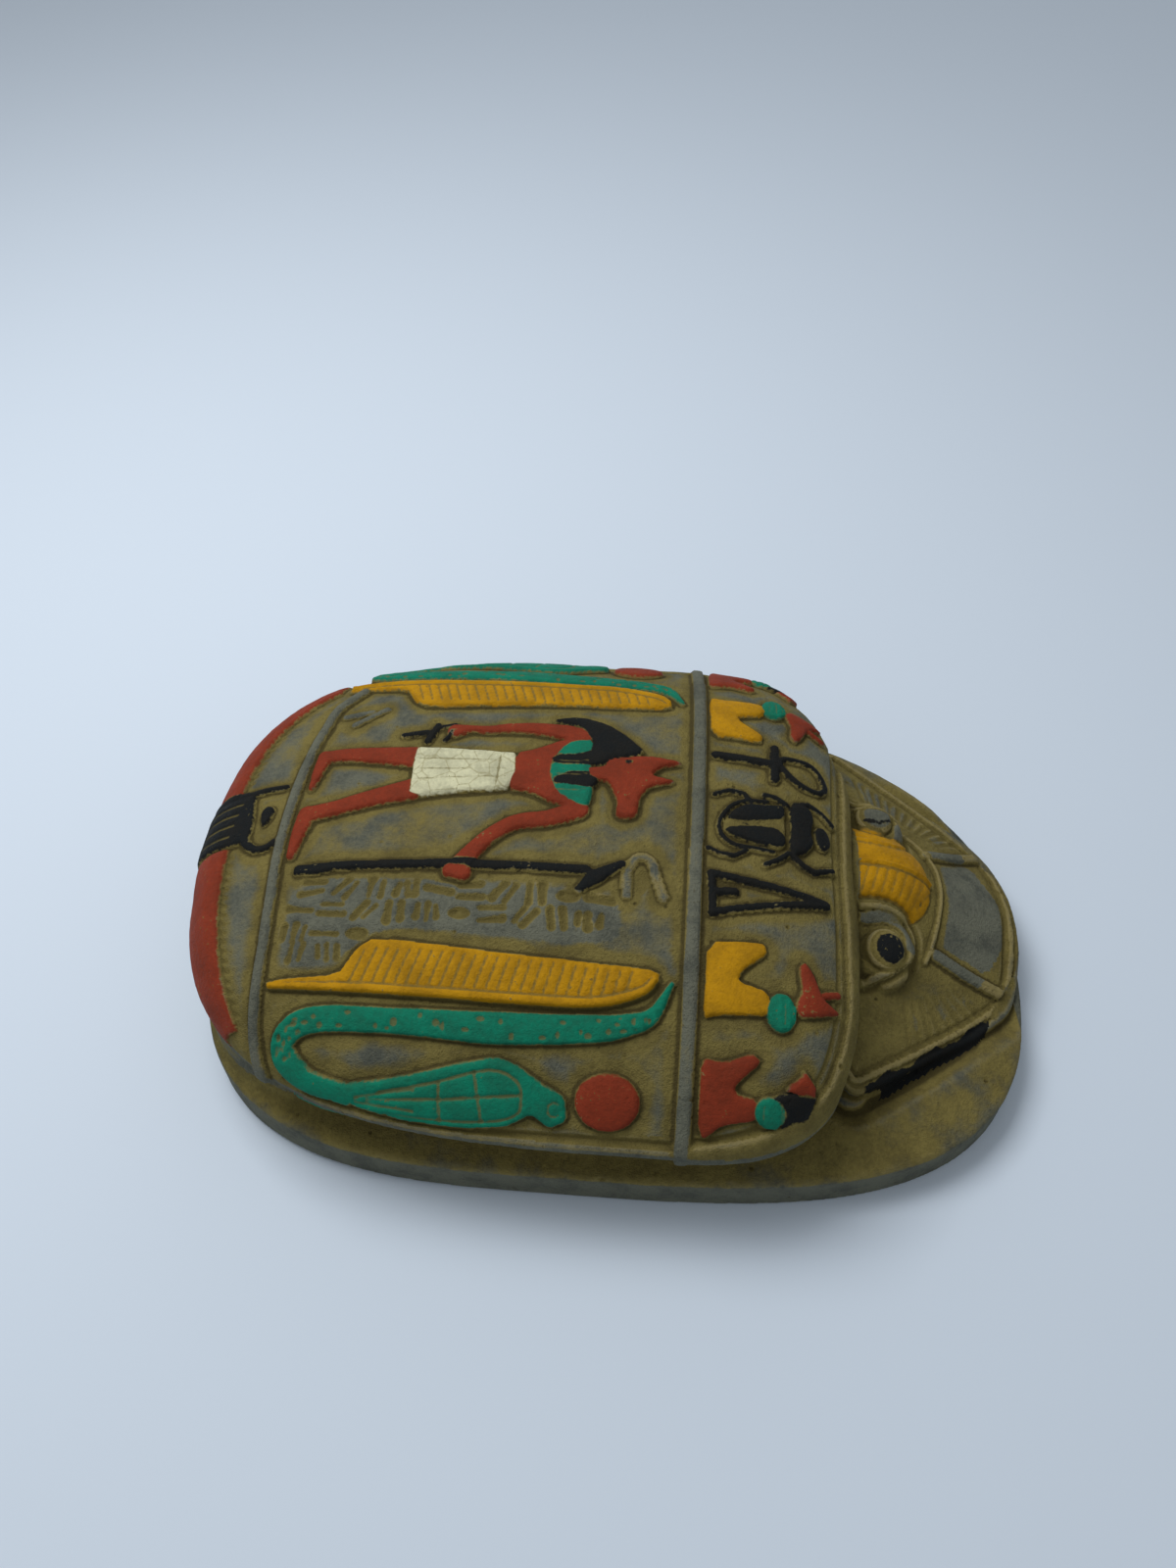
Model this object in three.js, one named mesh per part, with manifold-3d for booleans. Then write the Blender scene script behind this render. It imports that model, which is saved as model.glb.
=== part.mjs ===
import * as THREE from 'three';
import { mergeVertices } from 'three/addons/utils/BufferGeometryUtils.js';
import Module from 'manifold-3d';

const wasm = await Module();
wasm.setup();

// Driving sizes in millimetres: +X to the beetle's head, +Y to the far side, +Z up, the block on z = 0
const length = 162;
const width = 113;
const shellTop = 40;
const lipHeight = 21;
const baseHeight = 9;
const baseChamfer = 0.8;
const ledgeRise = 1.6;
const undercut = 4.5;
const rearUndercut = 1;
const flankInset = 1.2;
const lipFace = 2.6;
const reliefRise = 1;
const ridgeRise = 1;
const ridgeWidth = 2.8;
const rimRise = 0.6;
const strokeDepth = 0.7;
const plateThickness = 3.6;
const sides = 44;
const grooves = 6;
const strokesInRow = 10;

// The carving keeps its share of the block: these turn places on the 162 by 113 block into places here
const X = (x) => x * length / 162;
const Y = (y) => y * width / 113;

const base = {
  rear: -length / 2 + 1.5,
  front: length / 2 - 0.5,
  widest: X(-8.5),
  half: width / 2,
  square: { rear: 3.1, frontNear: 3.3, frontFar: 2.15 },
};
const shell = {
  rear: -length / 2,
  front: X(47),
  widest: X(5.5),
  half: width / 2,
  square: { rearNear: 2.9, rearFar: 2.7, frontNear: 3.7, frontFar: 2.8 },
};
const collarRidge = X(15);
const rearRidge = { middle: X(-62), bend: X(3) };

const head = {
  crown: 28.1,
  fallAhead: 0.43,
  fallAside: 0.312,
  soft: 5,
  from: X(46),
};
const brow = { x: X(46), y: Y(2), z: 16, rx: X(17), ry: Y(14), rz: 12.5 };
const eye = { x: X(50.8), y: Y(13.5), z: 19.5, rx: X(6.6), ry: Y(8.2), rz: 4.6, pupil: 2.6, lid: 4.4 };

// Closed solids

function solidOf(geometry) {
  geometry.deleteAttribute('normal');
  geometry.deleteAttribute('uv');
  const merged = mergeVertices(geometry, 1e-4);
  return new wasm.Manifold(new wasm.Mesh({
    numProp: 3,
    vertProperties: new Float32Array(merged.attributes.position.array),
    triVerts: new Uint32Array(merged.index.array),
  }));
}

// Stacked rings of equal count, closed by a fan under the first and over the last
function loft(rings) {
  const count = rings[0].length;
  const points = rings.flat();
  const index = [];
  for (let r = 0; r + 1 < rings.length; r++) {
    for (let i = 0; i < count; i++) {
      const a = r * count + i;
      const b = r * count + (i + 1) % count;
      index.push(a, b, b + count, a, b + count, a + count);
    }
  }
  for (const [start, up] of [[0, false], [(rings.length - 1) * count, true]]) {
    const ring = points.slice(start, start + count);
    const middle = ring.reduce((sum, p) => sum.add(p), new THREE.Vector3()).divideScalar(count);
    const centre = points.push(middle) - 1;
    for (let i = 0; i < count; i++) {
      const a = start + i;
      const b = start + (i + 1) % count;
      if (up) index.push(a, b, centre);
      else index.push(b, a, centre);
    }
  }
  const geometry = new THREE.BufferGeometry().setFromPoints(points);
  geometry.setIndex(index);
  return solidOf(geometry);
}

function prism(points, low = 0, high = shellTop + 6) {
  const shape = new THREE.Shape(points);
  const geometry = new THREE.ExtrudeGeometry(shape, { depth: high - low, bevelEnabled: false });
  return solidOf(geometry.translate(0, 0, low));
}

const union = (solids) => solids.reduce((sum, solid) => sum.add(solid));

// Outlines and surfaces

const power = (value, square) => Math.sign(value) * Math.abs(value) ** (2 / square);

function baseRing(inset, z) {
  return Array.from({ length: sides }, (_, i) => {
    const angle = i / sides * Math.PI * 2;
    const c = Math.cos(angle);
    const s = Math.sin(angle);
    const ahead = s > 0 ? base.square.frontFar : base.square.frontNear;
    const square = c < 0 ? base.square.rear : ahead;
    const reach = c < 0 ? base.widest - base.rear : base.front - base.widest;
    const x = base.widest + (reach - inset) * power(c, square);
    return new THREE.Vector3(x, (base.half - inset) * power(s, square), z);
  });
}

function shellSquare(ahead, far) {
  if (ahead) return far ? shell.square.frontFar : shell.square.frontNear;
  return far ? shell.square.rearFar : shell.square.rearNear;
}

// Height of the shell over a point: a flat crown, gently rounded at the sides and blunt at both ends
function shellHeight(x, y) {
  const ahead = x > shell.widest;
  const reach = ahead ? shell.front - shell.widest : shell.widest - shell.rear;
  const square = shellSquare(ahead, y > 0);
  const along = Math.min(1, Math.abs(x - shell.widest) / reach);
  const out = Math.min(1, (along ** square + Math.abs(y / shell.half) ** square) ** (1 / square));
  const round = 1 - out ** (2.8 + 3 * along ** 2);
  return lipHeight + (shellTop - lipHeight) * round ** (1 / (1 + 0.8 * along ** 2));
}

// The undercut is full along the front and both sides, and runs out towards the rear
function neckInset(c) {
  return rearUndercut + (undercut - rearUndercut) * THREE.MathUtils.smoothstep(c, -0.85, -0.45);
}

function shellRing(share, insetAt = () => 0) {
  return Array.from({ length: sides }, (_, i) => {
    const angle = i / sides * Math.PI * 2;
    const c = Math.cos(angle);
    const s = Math.sin(angle);
    const square = shellSquare(c > 0, s > 0);
    const reach = c > 0 ? shell.front - shell.widest : shell.widest - shell.rear;
    const inset = insetAt(c);
    const x = shell.widest + (reach - inset) * share * power(c, square);
    return new THREE.Vector3(x, (shell.half - inset) * share * power(s, square), 0);
  });
}

const liftTo = (ring, height) => ring.map((p) => new THREE.Vector3(p.x, p.y, height(p)));

const surfaceShares = [0.98, 0.958, 0.95, 0.88, 0.74, 0.52, 0.26];

function shellSolid() {
  const rings = [
    liftTo(shellRing(1, (c) => neckInset(c) + 2), () => lipHeight - 6),
    liftTo(shellRing(1, neckInset), () => lipHeight - 4),
    liftTo(shellRing(1, () => 0.7), () => lipHeight - lipFace),
    liftTo(shellRing(1), () => lipHeight - 0.8),
  ];
  for (const share of surfaceShares) {
    const rim = share > 0.96 ? rimRise : 0;
    rings.push(liftTo(shellRing(share), (p) => shellHeight(p.x, p.y) + rim));
  }
  return loft(rings);
}

// The room between the shell's skin and a skin raised over it, which cuts every figure's prism
function raisedShell(rise) {
  const rings = [liftTo(shellRing(0.97), () => lipHeight - 3)];
  for (const share of surfaceShares.slice(1)) {
    const outward = 1 + 0.8 * rise / shell.half;
    const ring = shellRing(share);
    rings.push(ring.map((p) => new THREE.Vector3(
      p.x * outward, p.y * outward, shellHeight(p.x, p.y) + rise)));
  }
  return loft(rings);
}

const plateHeight = (x, y) => head.crown - head.fallAhead * (x - head.from)
  - head.fallAside * Math.hypot(y, head.soft);

// Flat outlines, all on the 162 by 113 block

const place = (x, y) => new THREE.Vector2(X(x), Y(y));
const outline = (pairs) => pairs.map(([x, y]) => place(x, y));
const mirrored = (points) => points.map((p) => new THREE.Vector2(p.x, -p.y)).reverse();

function oval(x, y, rx, ry, count = 16, from = 0, to = 2) {
  return Array.from({ length: count }, (_, i) => {
    const angle = Math.PI * (from + (to - from) * i / (to - from < 2 ? count - 1 : count));
    return place(x + rx * Math.cos(angle), y + ry * Math.sin(angle));
  });
}

// A stroke of changing half width along a path, with round ends
function stroke(path, radii) {
  const points = outline(path);
  const last = points.length - 1;
  const radius = (i) => {
    if (!Array.isArray(radii)) return radii;
    const at = i / last * (radii.length - 1);
    const low = Math.min(radii.length - 2, Math.floor(at));
    return radii[low] + (radii[low + 1] - radii[low]) * (at - low);
  };
  const heading = (i) => {
    const before = points[Math.max(0, i - 1)];
    const after = points[Math.min(last, i + 1)];
    return Math.atan2(after.y - before.y, after.x - before.x);
  };
  const side = (i, turn) => new THREE.Vector2(
    points[i].x + radius(i) * Math.cos(heading(i) + turn),
    points[i].y + radius(i) * Math.sin(heading(i) + turn));
  const right = points.map((_, i) => side(i, -Math.PI / 2));
  const left = points.map((_, i) => side(i, Math.PI / 2)).reverse();
  const cap = (i, from) => [side(i, from + Math.PI / 2)];
  return [...right, ...cap(last, -Math.PI / 2), ...left, ...cap(0, Math.PI / 2)];
}

// A smooth path through a few places
function curve(pairs, count) {
  const spline = new THREE.CatmullRomCurve3(pairs.map(([x, y]) => new THREE.Vector3(x, y, 0)));
  return spline.getPoints(count).map((p) => [p.x, p.y]);
}

// The jackal-headed walker with its staff
function walker() {
  const collar = oval(-5.5, 10.6, 8.4, 8.4, 11, 0.5, 1.5);
  return [
    outline([[-40, 15.6], [-20.4, 15.2], [-6, 21], [-4.6, 1.4], [-8.5, 0.6], [-20, 5], [-39, 3.4]]),
    collar,
    outline([[-4.8, 12.6], [-6.6, 19.6], [-14, 25], [-8, 26.2], [-2, 24.2], [2.4, 20.6], [5.8, 15.6]]),
    stroke([[-7, 9.8], [2, 10.8]], [1.9, 3.2]),
    stroke([[2.6, 9.6], [2.3, 1.6]], [3.4, 1.8]),
    stroke([[3, 13], [12.4, 14.4]], [1.8, 0.6]),
    stroke([[4, 10.4], [11, 9.6]], [1.8, 0.6]),
    stroke([[-7, 21.6], [-15, 23.4], [-33, 21.2]], [1.9, 1.4]),
    stroke([[-33, 20.4], [-42.6, 19.6]], [1.2, 0.7]),
    stroke([[-36.4, 22.6], [-37.6, 18]], 0.7),
    stroke([[-6.6, 2.4], [-10, -0.4], [-16.4, -5], [-27, -12.4]], [2.2, 1.5]),
    stroke([[-37, 13.2], [-57.4, 13.4], [-59, 5]], [2.3, 1.6, 1.4]),
    stroke([[-37, 6], [-58.6, 0.6], [-59.6, -9.6]], [2.4, 1.7, 1.4]),
    stroke([[-57, -12.8], [-49.6, -13.6]], 1.4),
    stroke([[-50, -13], [-28, -12], [-4.6, -12.2]], 0.8),
    stroke([[1.6, -11], [-3.6, -13.4], [-4.8, -16]], 1),
  ];
}

// A feather and a reared snake with its sun disc, the near one and its mirror image
function feather() {
  return outline([
    [-58, -34.2], [-58, -36.6], [-32, -38], [-2, -37.6], [6, -35.4], [10.2, -30.4],
    [2, -29.2], [-40.4, -27], [-45.4, -34.4],
  ]);
}

function snake() {
  const back = curve([
    [11.4, -32.4], [7.4, -37.8], [-6, -40.6], [-30, -40.8], [-48, -40.2], [-55, -43.6],
    [-49, -48.6], [-38, -50.6],
  ], 16);
  return [
    stroke(back, [0.8, 2.1, 2.4, 2.5, 2.4, 2, 1.5, 1.7]),
    oval(-23.5, -50, 14.5, 4.1, 16),
    stroke([[-13, -48.4], [-6.6, -50.2], [-7, -52.4]], [2.2, 2.2, 1.4]),
    oval(2.3, -49.5, 5.3, 3.9, 16),
  ];
}

// Two bird-headed figures on the collar, the near ones and their mirror images
function birds() {
  return [
    outline([[17.6, -24.4], [28, -23.6], [23, -30], [28.2, -32.4], [33.4, -32], [33.4, -37.8],
      [28.2, -38.4], [28.2, -36.4], [17.8, -37.4]]),
    outline([[33, -32.6], [35.6, -31], [34, -26], [36.6, -27], [37.4, -30.6], [42, -29.4],
      [41, -33.4], [36.6, -34.2], [33, -37]]),
    outline([[17.3, -43], [26, -41.8], [27.6, -43.6], [23, -46.8], [27, -48.2], [31.6, -47.6],
      [31.6, -51.2], [27, -51.8], [21, -51.4], [17.6, -53.4]]),
    outline([[31, -47.6], [34.6, -44.8], [35, -43], [37.4, -44.6], [37.6, -48.6], [31.4, -51]]),
  ];
}

// A looped cross, a beetle and a triangle along the middle of the collar
function signs() {
  const legs = [];
  for (const side of [-1, 1]) {
    for (const [x, bend] of [[21, -3.4], [29, 0.6], [34, 4.4]]) {
      legs.push(stroke([[x + 3, 2.4 + side * 3.4], [x + 2 + bend * 0.4, 2.2 + side * 7],
        [x + bend, 2 + side * 8.8]], [0.8, 0.5]));
    }
  }
  return [
    stroke([[18.2, 18], [30, 17.6]], 1),
    stroke([[30, 21.4], [30, 11.6]], [0.9, 1.2]),
    stroke(curve([[30.5, 17.4], [36, 20], [40.6, 17.4], [39.6, 13], [35, 13.4], [31, 16.6]], 8),
      0.8),
    oval(26.2, 2.6, 5.8, 5, 12),
    oval(34, 2.4, 3.2, 4.8, 10),
    oval(38.4, 0.8, 2.4, 2.2, 8),
    ...legs,
    stroke([[18.4, -10], [18.6, -18.6]], 0.8),
    stroke([[18.6, -18.6], [39.2, -13.6]], 0.8),
    stroke([[39.2, -13.6], [18.4, -10]], 0.8),
    stroke([[18.6, -14.4], [22.2, -14.2]], 0.8),
  ];
}

// The raised strip under the staff, and the rows of short strokes cut into it
function strip() {
  return outline([
    [-58.6, -17], [-30, -16.2], [10.6, -16], [12, -27], [-40.6, -24.6], [-47, -31.4], [-57, -31],
  ]);
}

function stripStrokes() {
  const cuts = [];
  const lean = [[0.2, 1.6], [1.5, 0.2], [0.9, 1.2], [-0.9, 1.2], [1.4, 0.5]];
  for (let row = 0; row < 2; row++) {
    for (let n = 0; n < strokesInRow; n++) {
      const [dx, dy] = lean[(n * 2 + row * 3) % lean.length];
      const x = -53 + n * 59 / (strokesInRow - 1) + row * 1.4;
      const y = -18.6 - row * 4;
      cuts.push(outline([
        [x - dx, y - dy], [x - dx + 0.9, y - dy - 0.3], [x + dx, y + dy], [x + dx - 0.9, y + dy + 0.3],
      ]));
    }
  }
  return cuts;
}

function hook() {
  return stroke(curve([[3.4, -17], [3, -10], [8, -7.4], [11.4, -10], [11.8, -16.6]], 10), 0.9);
}

// The mark at the middle of the rear edge, between the two red wings
function rearMark() {
  return [
    outline([[-79, -5.4], [-79, 5.6], [-72.6, 4.6], [-72.6, -5]]),
    stroke(curve([[-64.4, 7], [-69.6, 6.4], [-72.4, 0.4], [-69.8, -6.4], [-64.6, -8.4]], 8),
      [0.8, 1.5, 0.8]),
    oval(-67.4, 0.2, 1.7, 1.8, 8),
  ];
}

function rearWing() {
  const outer = oval(5.5, 0, 84.4, 54.4, 9, 1.05, 1.27);
  const inner = oval(5.5, 0, 78.6, 49.6, 9, 1.05, 1.27).reverse();
  return [...outer, ...inner];
}

function ridges() {
  const reach = shell.half - 1.6;
  const across = Array.from({ length: 11 }, (_, i) => (i / 5 - 1));
  const line = (at) => across.map((t) => [at(t), t * reach]);
  const lay = (path) => {
    const right = path.map(([x, y]) => new THREE.Vector2(x + ridgeWidth / 2, y));
    const left = path.map(([x, y]) => new THREE.Vector2(x - ridgeWidth / 2, y)).reverse();
    return [...right, ...left];
  };
  return [
    lay(line(() => collarRidge)),
    lay(line((t) => rearRidge.middle + rearRidge.bend * t * t)),
  ];
}

// Base, neck and shell

function baseSolid() {
  return loft([
    baseRing(baseChamfer, 0),
    baseRing(0, baseChamfer),
    baseRing(0, baseHeight - baseChamfer),
    baseRing(baseChamfer, baseHeight),
    baseRing(7, baseHeight + ledgeRise),
  ]);
}

// Round the rear the neck is a hollow flank that spreads from under the shell out to the base's edge
function neckRing(spread, z) {
  const edge = baseRing(flankInset, z);
  return shellRing(1, neckInset).map((p, i) => {
    const rear = THREE.MathUtils.smoothstep(-Math.cos(i / sides * Math.PI * 2), 0.4, 0.8);
    return new THREE.Vector3(p.x, p.y, z).lerp(edge[i], spread * rear);
  });
}

function neckSolid() {
  return loft([
    neckRing(1, baseHeight - 1),
    neckRing(0.45, baseHeight + 3.5),
    neckRing(0, lipHeight - 3),
  ]);
}

// Head: a sloping fan-shaped plate, the round brow, the two eyes and the ridges of the middle panel

function plateOutline() {
  const near = outline([
    [81, 0], [80.8, 5], [80, 10.5], [78.4, 15.6], [76, 19.6], [68.4, 25.6], [60, 31.4],
    [52, 36.6], [45, 41], [41, 36], [38, 24], [37, 8],
  ]);
  const far = near.slice(1).map((p) => new THREE.Vector2(p.x, -p.y)).reverse();
  return [...near, ...far];
}

function plateSolid() {
  const corners = plateOutline();
  const middle = place(50, 0);
  const ring = (share, height) => corners.map((p) => {
    const at = middle.clone().lerp(p, share);
    return new THREE.Vector3(at.x, at.y, height(at));
  });
  const top = (at) => plateHeight(at.x, at.y);
  return loft([
    ring(0.86, () => baseHeight - 2),
    ring(0.86, (at) => Math.max(baseHeight - 1, top(at) - plateThickness - 2)),
    ring(0.985, (at) => Math.max(baseHeight - 0.5, top(at) - plateThickness)),
    ring(1, (at) => top(at) - 0.9),
    ring(0.985, top),
    ring(0.75, top),
    ring(0.5, top),
    ring(0.25, top),
  ]);
}

function bar(from, to, radius, count = 6) {
  const along = new THREE.Vector3().subVectors(to, from);
  const geometry = new THREE.CylinderGeometry(radius, radius, along.length(), count);
  const turn = new THREE.Quaternion().setFromUnitVectors(
    new THREE.Vector3(0, 1, 0), along.clone().normalize());
  geometry.applyQuaternion(turn);
  const middle = from.clone().add(to).multiplyScalar(0.5);
  return solidOf(geometry.translate(middle.x, middle.y, middle.z));
}

const onPlate = (x, y, over) => new THREE.Vector3(X(x), Y(y), plateHeight(X(x), Y(y)) + over);

function dome(at, rx, ry, rz, around = 20, down = 10) {
  const geometry = new THREE.SphereGeometry(1, around, down);
  return solidOf(geometry.scale(rx, ry, rz).translate(at.x, at.y, at.z));
}

function headSolid() {
  const parts = [plateSolid(), dome(brow, brow.rx, brow.ry, brow.rz, 18, 7)];
  for (const side of [-1, 1]) {
    const at = { x: eye.x, y: eye.y * side, z: eye.z };
    parts.push(dome(at, eye.rx, eye.ry, eye.rz, 12, 5));
    const lid = new THREE.TorusGeometry(eye.lid, 0.8, 4, 9).translate(at.x + 0.6, at.y, at.z + 3.5);
    parts.push(solidOf(lid));
    parts.push(dome({ x: at.x + 0.8, y: at.y, z: at.z + 3.6 }, eye.pupil, eye.pupil, 1.6, 8, 4));
    parts.push(bar(onPlate(61, 12 * side, 0.1), onPlate(75.6, 18.2 * side, 0.1), 1.2));
  }
  let solid = union(parts);
  for (const side of [-1, 1]) {
    for (let n = 0; n < grooves; n++) {
      const share = n / (grooves - 1);
      const inner = onPlate(49.6 + 10.4 * share, side * (27 - 9 * share), 0.25);
      const outer = onPlate(47.6 + 24.6 * share, side * (38.4 - 15.6 * share), 0.25);
      solid = solid.subtract(bar(inner, outer, 0.6, 3));
    }
  }
  return solid;
}

function carvings() {
  const pairs = [feather(), ...snake(), ...birds(), rearWing()];
  const figures = [...walker(), ...signs(), ...rearMark(), ...pairs, ...pairs.map(mirrored)];
  const relief = union(figures.map((points) => prism(points, lipHeight - 2)))
    .intersect(raisedShell(reliefRise));
  const bars = union(ridges().map((points) => prism(points, lipHeight - 2)))
    .intersect(raisedShell(ridgeRise + 0.13));
  const cuts = union(stripStrokes().map((points) => prism(points, lipHeight - 2)));
  const field = prism(strip(), lipHeight - 2).add(prism(hook(), lipHeight - 2))
    .intersect(raisedShell(strokeDepth)).subtract(cuts);
  return [relief, bars, field];
}

function meshOf(solid, name, material) {
  const { vertProperties, triVerts } = solid.getMesh();
  const geometry = new THREE.BufferGeometry();
  geometry.setAttribute('position', new THREE.BufferAttribute(new Float32Array(vertProperties), 3));
  geometry.setIndex(new THREE.BufferAttribute(new Uint32Array(triVerts), 1));
  geometry.computeVertexNormals();
  const mesh = new THREE.Mesh(geometry, material);
  mesh.name = name;
  return mesh;
}

const stone = new THREE.MeshStandardMaterial({ color: 0x77704f, roughness: 0.8, metalness: 0 });

const scarab = new THREE.Group();
const block = union([baseSolid(), neckSolid(), shellSolid(), headSolid(), ...carvings()]);
scarab.add(meshOf(block, 'scarab', stone));

export default scarab;
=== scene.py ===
import math
import bpy
import numpy as np
from mathutils import Matrix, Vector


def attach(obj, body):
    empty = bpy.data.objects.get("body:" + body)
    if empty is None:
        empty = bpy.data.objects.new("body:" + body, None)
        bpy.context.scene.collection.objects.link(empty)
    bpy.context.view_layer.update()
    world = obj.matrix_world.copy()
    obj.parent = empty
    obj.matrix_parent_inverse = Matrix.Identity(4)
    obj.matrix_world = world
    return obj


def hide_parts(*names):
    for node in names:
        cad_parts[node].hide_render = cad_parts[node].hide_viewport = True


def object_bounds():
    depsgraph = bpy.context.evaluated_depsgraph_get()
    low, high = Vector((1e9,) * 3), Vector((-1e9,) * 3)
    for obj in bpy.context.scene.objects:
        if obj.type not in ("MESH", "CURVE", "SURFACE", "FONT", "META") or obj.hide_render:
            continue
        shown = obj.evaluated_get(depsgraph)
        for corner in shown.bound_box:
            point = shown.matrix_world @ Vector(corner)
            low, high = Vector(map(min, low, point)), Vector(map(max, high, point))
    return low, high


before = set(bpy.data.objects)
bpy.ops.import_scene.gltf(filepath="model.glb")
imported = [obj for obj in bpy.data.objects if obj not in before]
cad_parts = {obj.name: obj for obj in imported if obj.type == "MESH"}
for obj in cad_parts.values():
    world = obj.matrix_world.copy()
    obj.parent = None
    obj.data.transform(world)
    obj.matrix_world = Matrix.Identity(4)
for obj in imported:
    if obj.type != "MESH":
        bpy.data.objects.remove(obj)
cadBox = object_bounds()

# Shapes are worked out in millimetres: +X to the beetle's head, +Y to the far side, +Z up.
# They are turned into metres at the very end.

# Block: slab, neck, shell and head, before any figure is cut

block = {
    "shellTop": 40.0,
    "lipHeight": 21.0,
    "lipFace": 2.6,
    "undercut": 4.5,
    "rearUndercut": 1.0,
    "flankInset": 1.2,
    "slabHeight": 9.0,
    "slabChamfer": 0.8,
    "ledgeRise": 1.6,
    "plateThickness": 3.6,
    "around": 720,       # points in a ring
    "voxel": 0.42,       # cell of the remesh that joins the solids
    "softening": 3,      # smoothing passes that round the joined edges
    "rearSoftening": 24,
    "flankAlong": (46, 62), "flankFoot": (4, 8), "flankTop": (-24, -20),
}
# squareness of an outline's corners: rear near, rear far, front near, front far
slabOutline = {"rear": -79.5, "front": 80.5, "widest": -8.5, "half": 56.5, "square": (3.1, 3.1, 3.3, 2.15)}
shellOutline = {"rear": -81.0, "front": 47.0, "widest": 5.5, "half": 56.5, "square": (2.9, 2.7, 3.7, 2.8)}
head = {"crown": 28.1, "fallAhead": 0.43, "fallAside": 0.312, "soft": 5.0, "from": 46.0}
brow = {"place": (46.0, 2.0, 16.0), "radii": (17.0, 14.0, 12.5)}
eye = {"place": (50.8, 13.5, 19.5), "radii": (6.6, 8.2, 4.6)}


def smooth(value, low, high):
    share = np.clip((value - low) / (high - low), 0, 1)
    return share * share * (3 - 2 * share)


def cornerSquare(outline, ahead, far):
    rearNear, rearFar, frontNear, frontFar = outline["square"]
    return np.where(ahead, np.where(far, frontFar, frontNear), np.where(far, rearFar, rearNear))


def outlineRing(outline, share=1.0, inset=0.0):
    turn = np.arange(block["around"]) / block["around"] * math.tau
    c, s = np.cos(turn), np.sin(turn)
    square = cornerSquare(outline, c > 0, s > 0)
    reach = np.where(c > 0, outline["front"] - outline["widest"], outline["widest"] - outline["rear"])
    x = outline["widest"] + (reach - inset) * share * np.sign(c) * np.abs(c) ** (2 / square)
    y = (outline["half"] - inset) * share * np.sign(s) * np.abs(s) ** (2 / square)
    return x, y


# How far a place lies along the shell, and how far out towards its edge: 0 in the middle, 1 at the edge
def shellShares(x, y):
    ahead = x > shellOutline["widest"]
    reach = np.where(ahead, shellOutline["front"] - shellOutline["widest"],
                     shellOutline["widest"] - shellOutline["rear"])
    square = cornerSquare(shellOutline, ahead, y > 0)
    along = np.abs(x - shellOutline["widest"]) / reach
    out = (along ** square + np.abs(y / shellOutline["half"]) ** square) ** (1 / square)
    return along, out


def shellHeight(x, y):
    along, out = shellShares(x, y)
    along = np.minimum(along, 1)
    rounded = 1 - np.minimum(out, 1) ** (2.8 + 3 * along ** 2)
    rise = block["shellTop"] - block["lipHeight"]
    return block["lipHeight"] + rise * rounded ** (1 / (1 + 0.8 * along ** 2))


def plateHeight(x, y):
    return (head["crown"] - head["fallAhead"] * (x - head["from"])
            - head["fallAside"] * np.hypot(y, head["soft"]))


def flat(ring, z):
    return np.column_stack([ring[0], ring[1], np.broadcast_to(z, ring[0].shape)])


# Stacked rings of equal count, closed by a fan at each end
def loft(rings):
    count = len(rings[0])
    points = np.vstack(rings + [rings[0].mean(0)[None], rings[-1].mean(0)[None]])
    a = np.arange(count)
    b = (a + 1) % count
    faces = []
    for level in range(len(rings) - 1):
        low, high = level * count, (level + 1) * count
        faces += np.column_stack([low + a, low + b, high + b, high + a]).tolist()
    bottom, top = len(points) - 2, len(points) - 1
    last = (len(rings) - 1) * count
    faces += [[j, i, bottom] for i, j in zip(a, b)]
    faces += [[last + i, last + j, top] for i, j in zip(a, b)]
    return points, faces


def slabSolid():
    top, chamfer = block["slabHeight"], block["slabChamfer"]
    steps = [(chamfer, 0), (0, chamfer), (0, top - chamfer), (chamfer, top), (7, top + block["ledgeRise"])]
    return loft([flat(outlineRing(slabOutline, 1, inset), z) for inset, z in steps])


# The undercut is full along the front and both sides, and runs out towards the rear
def neckInset():
    c = np.cos(np.arange(block["around"]) / block["around"] * math.tau)
    return block["rearUndercut"] + (block["undercut"] - block["rearUndercut"]) * smooth(c, -0.85, -0.45)


# Round the rear the neck is a hollow flank that spreads from under the shell out to the slab's edge
def neckSolid():
    rear = smooth(-np.cos(np.arange(block["around"]) / block["around"] * math.tau), 0.4, 0.8)
    inner = np.column_stack(outlineRing(shellOutline, 1, neckInset()))
    outer = np.column_stack(outlineRing(slabOutline, 1, block["flankInset"]))
    low, high = block["slabHeight"], block["lipHeight"]
    rings = []
    for spread, z in ((1, low - 1), (0.75, low + 1), (0.45, low + 3.5), (0.2, low + 6), (0, high - 3)):
        at = inner + (outer - inner) * (spread * rear)[:, None]
        rings.append(np.column_stack([at, np.full(len(at), z)]))
    return loft(rings)


def shellSolid():
    lip, cut = block["lipHeight"], neckInset()
    steps = [(cut, block["slabHeight"] - 2), (cut, lip - 5), (cut * 0.8, lip - 4),
             (0.7, lip - block["lipFace"]), (0, lip - 0.8)]
    rings = [flat(outlineRing(shellOutline, 1, inset), z) for inset, z in steps]
    for share in np.concatenate([[0.992, 0.984, 0.975], np.linspace(0.96, 0.03, 36)]):
        x, y = outlineRing(shellOutline, share)
        rings.append(np.column_stack([x, y, shellHeight(x, y)]))
    return loft(rings)


def plateOutline():
    near = [(81, 0), (80.8, 5), (80, 10.5), (78.4, 15.6), (76, 19.6), (68.4, 25.6), (60, 31.4),
            (52, 36.6), (45, 41), (41, 36), (38, 24), (37, 8)]
    near = np.array(near, float)
    far = near[1:][::-1] * (1, -1)
    return np.vstack([near, far])


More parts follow.
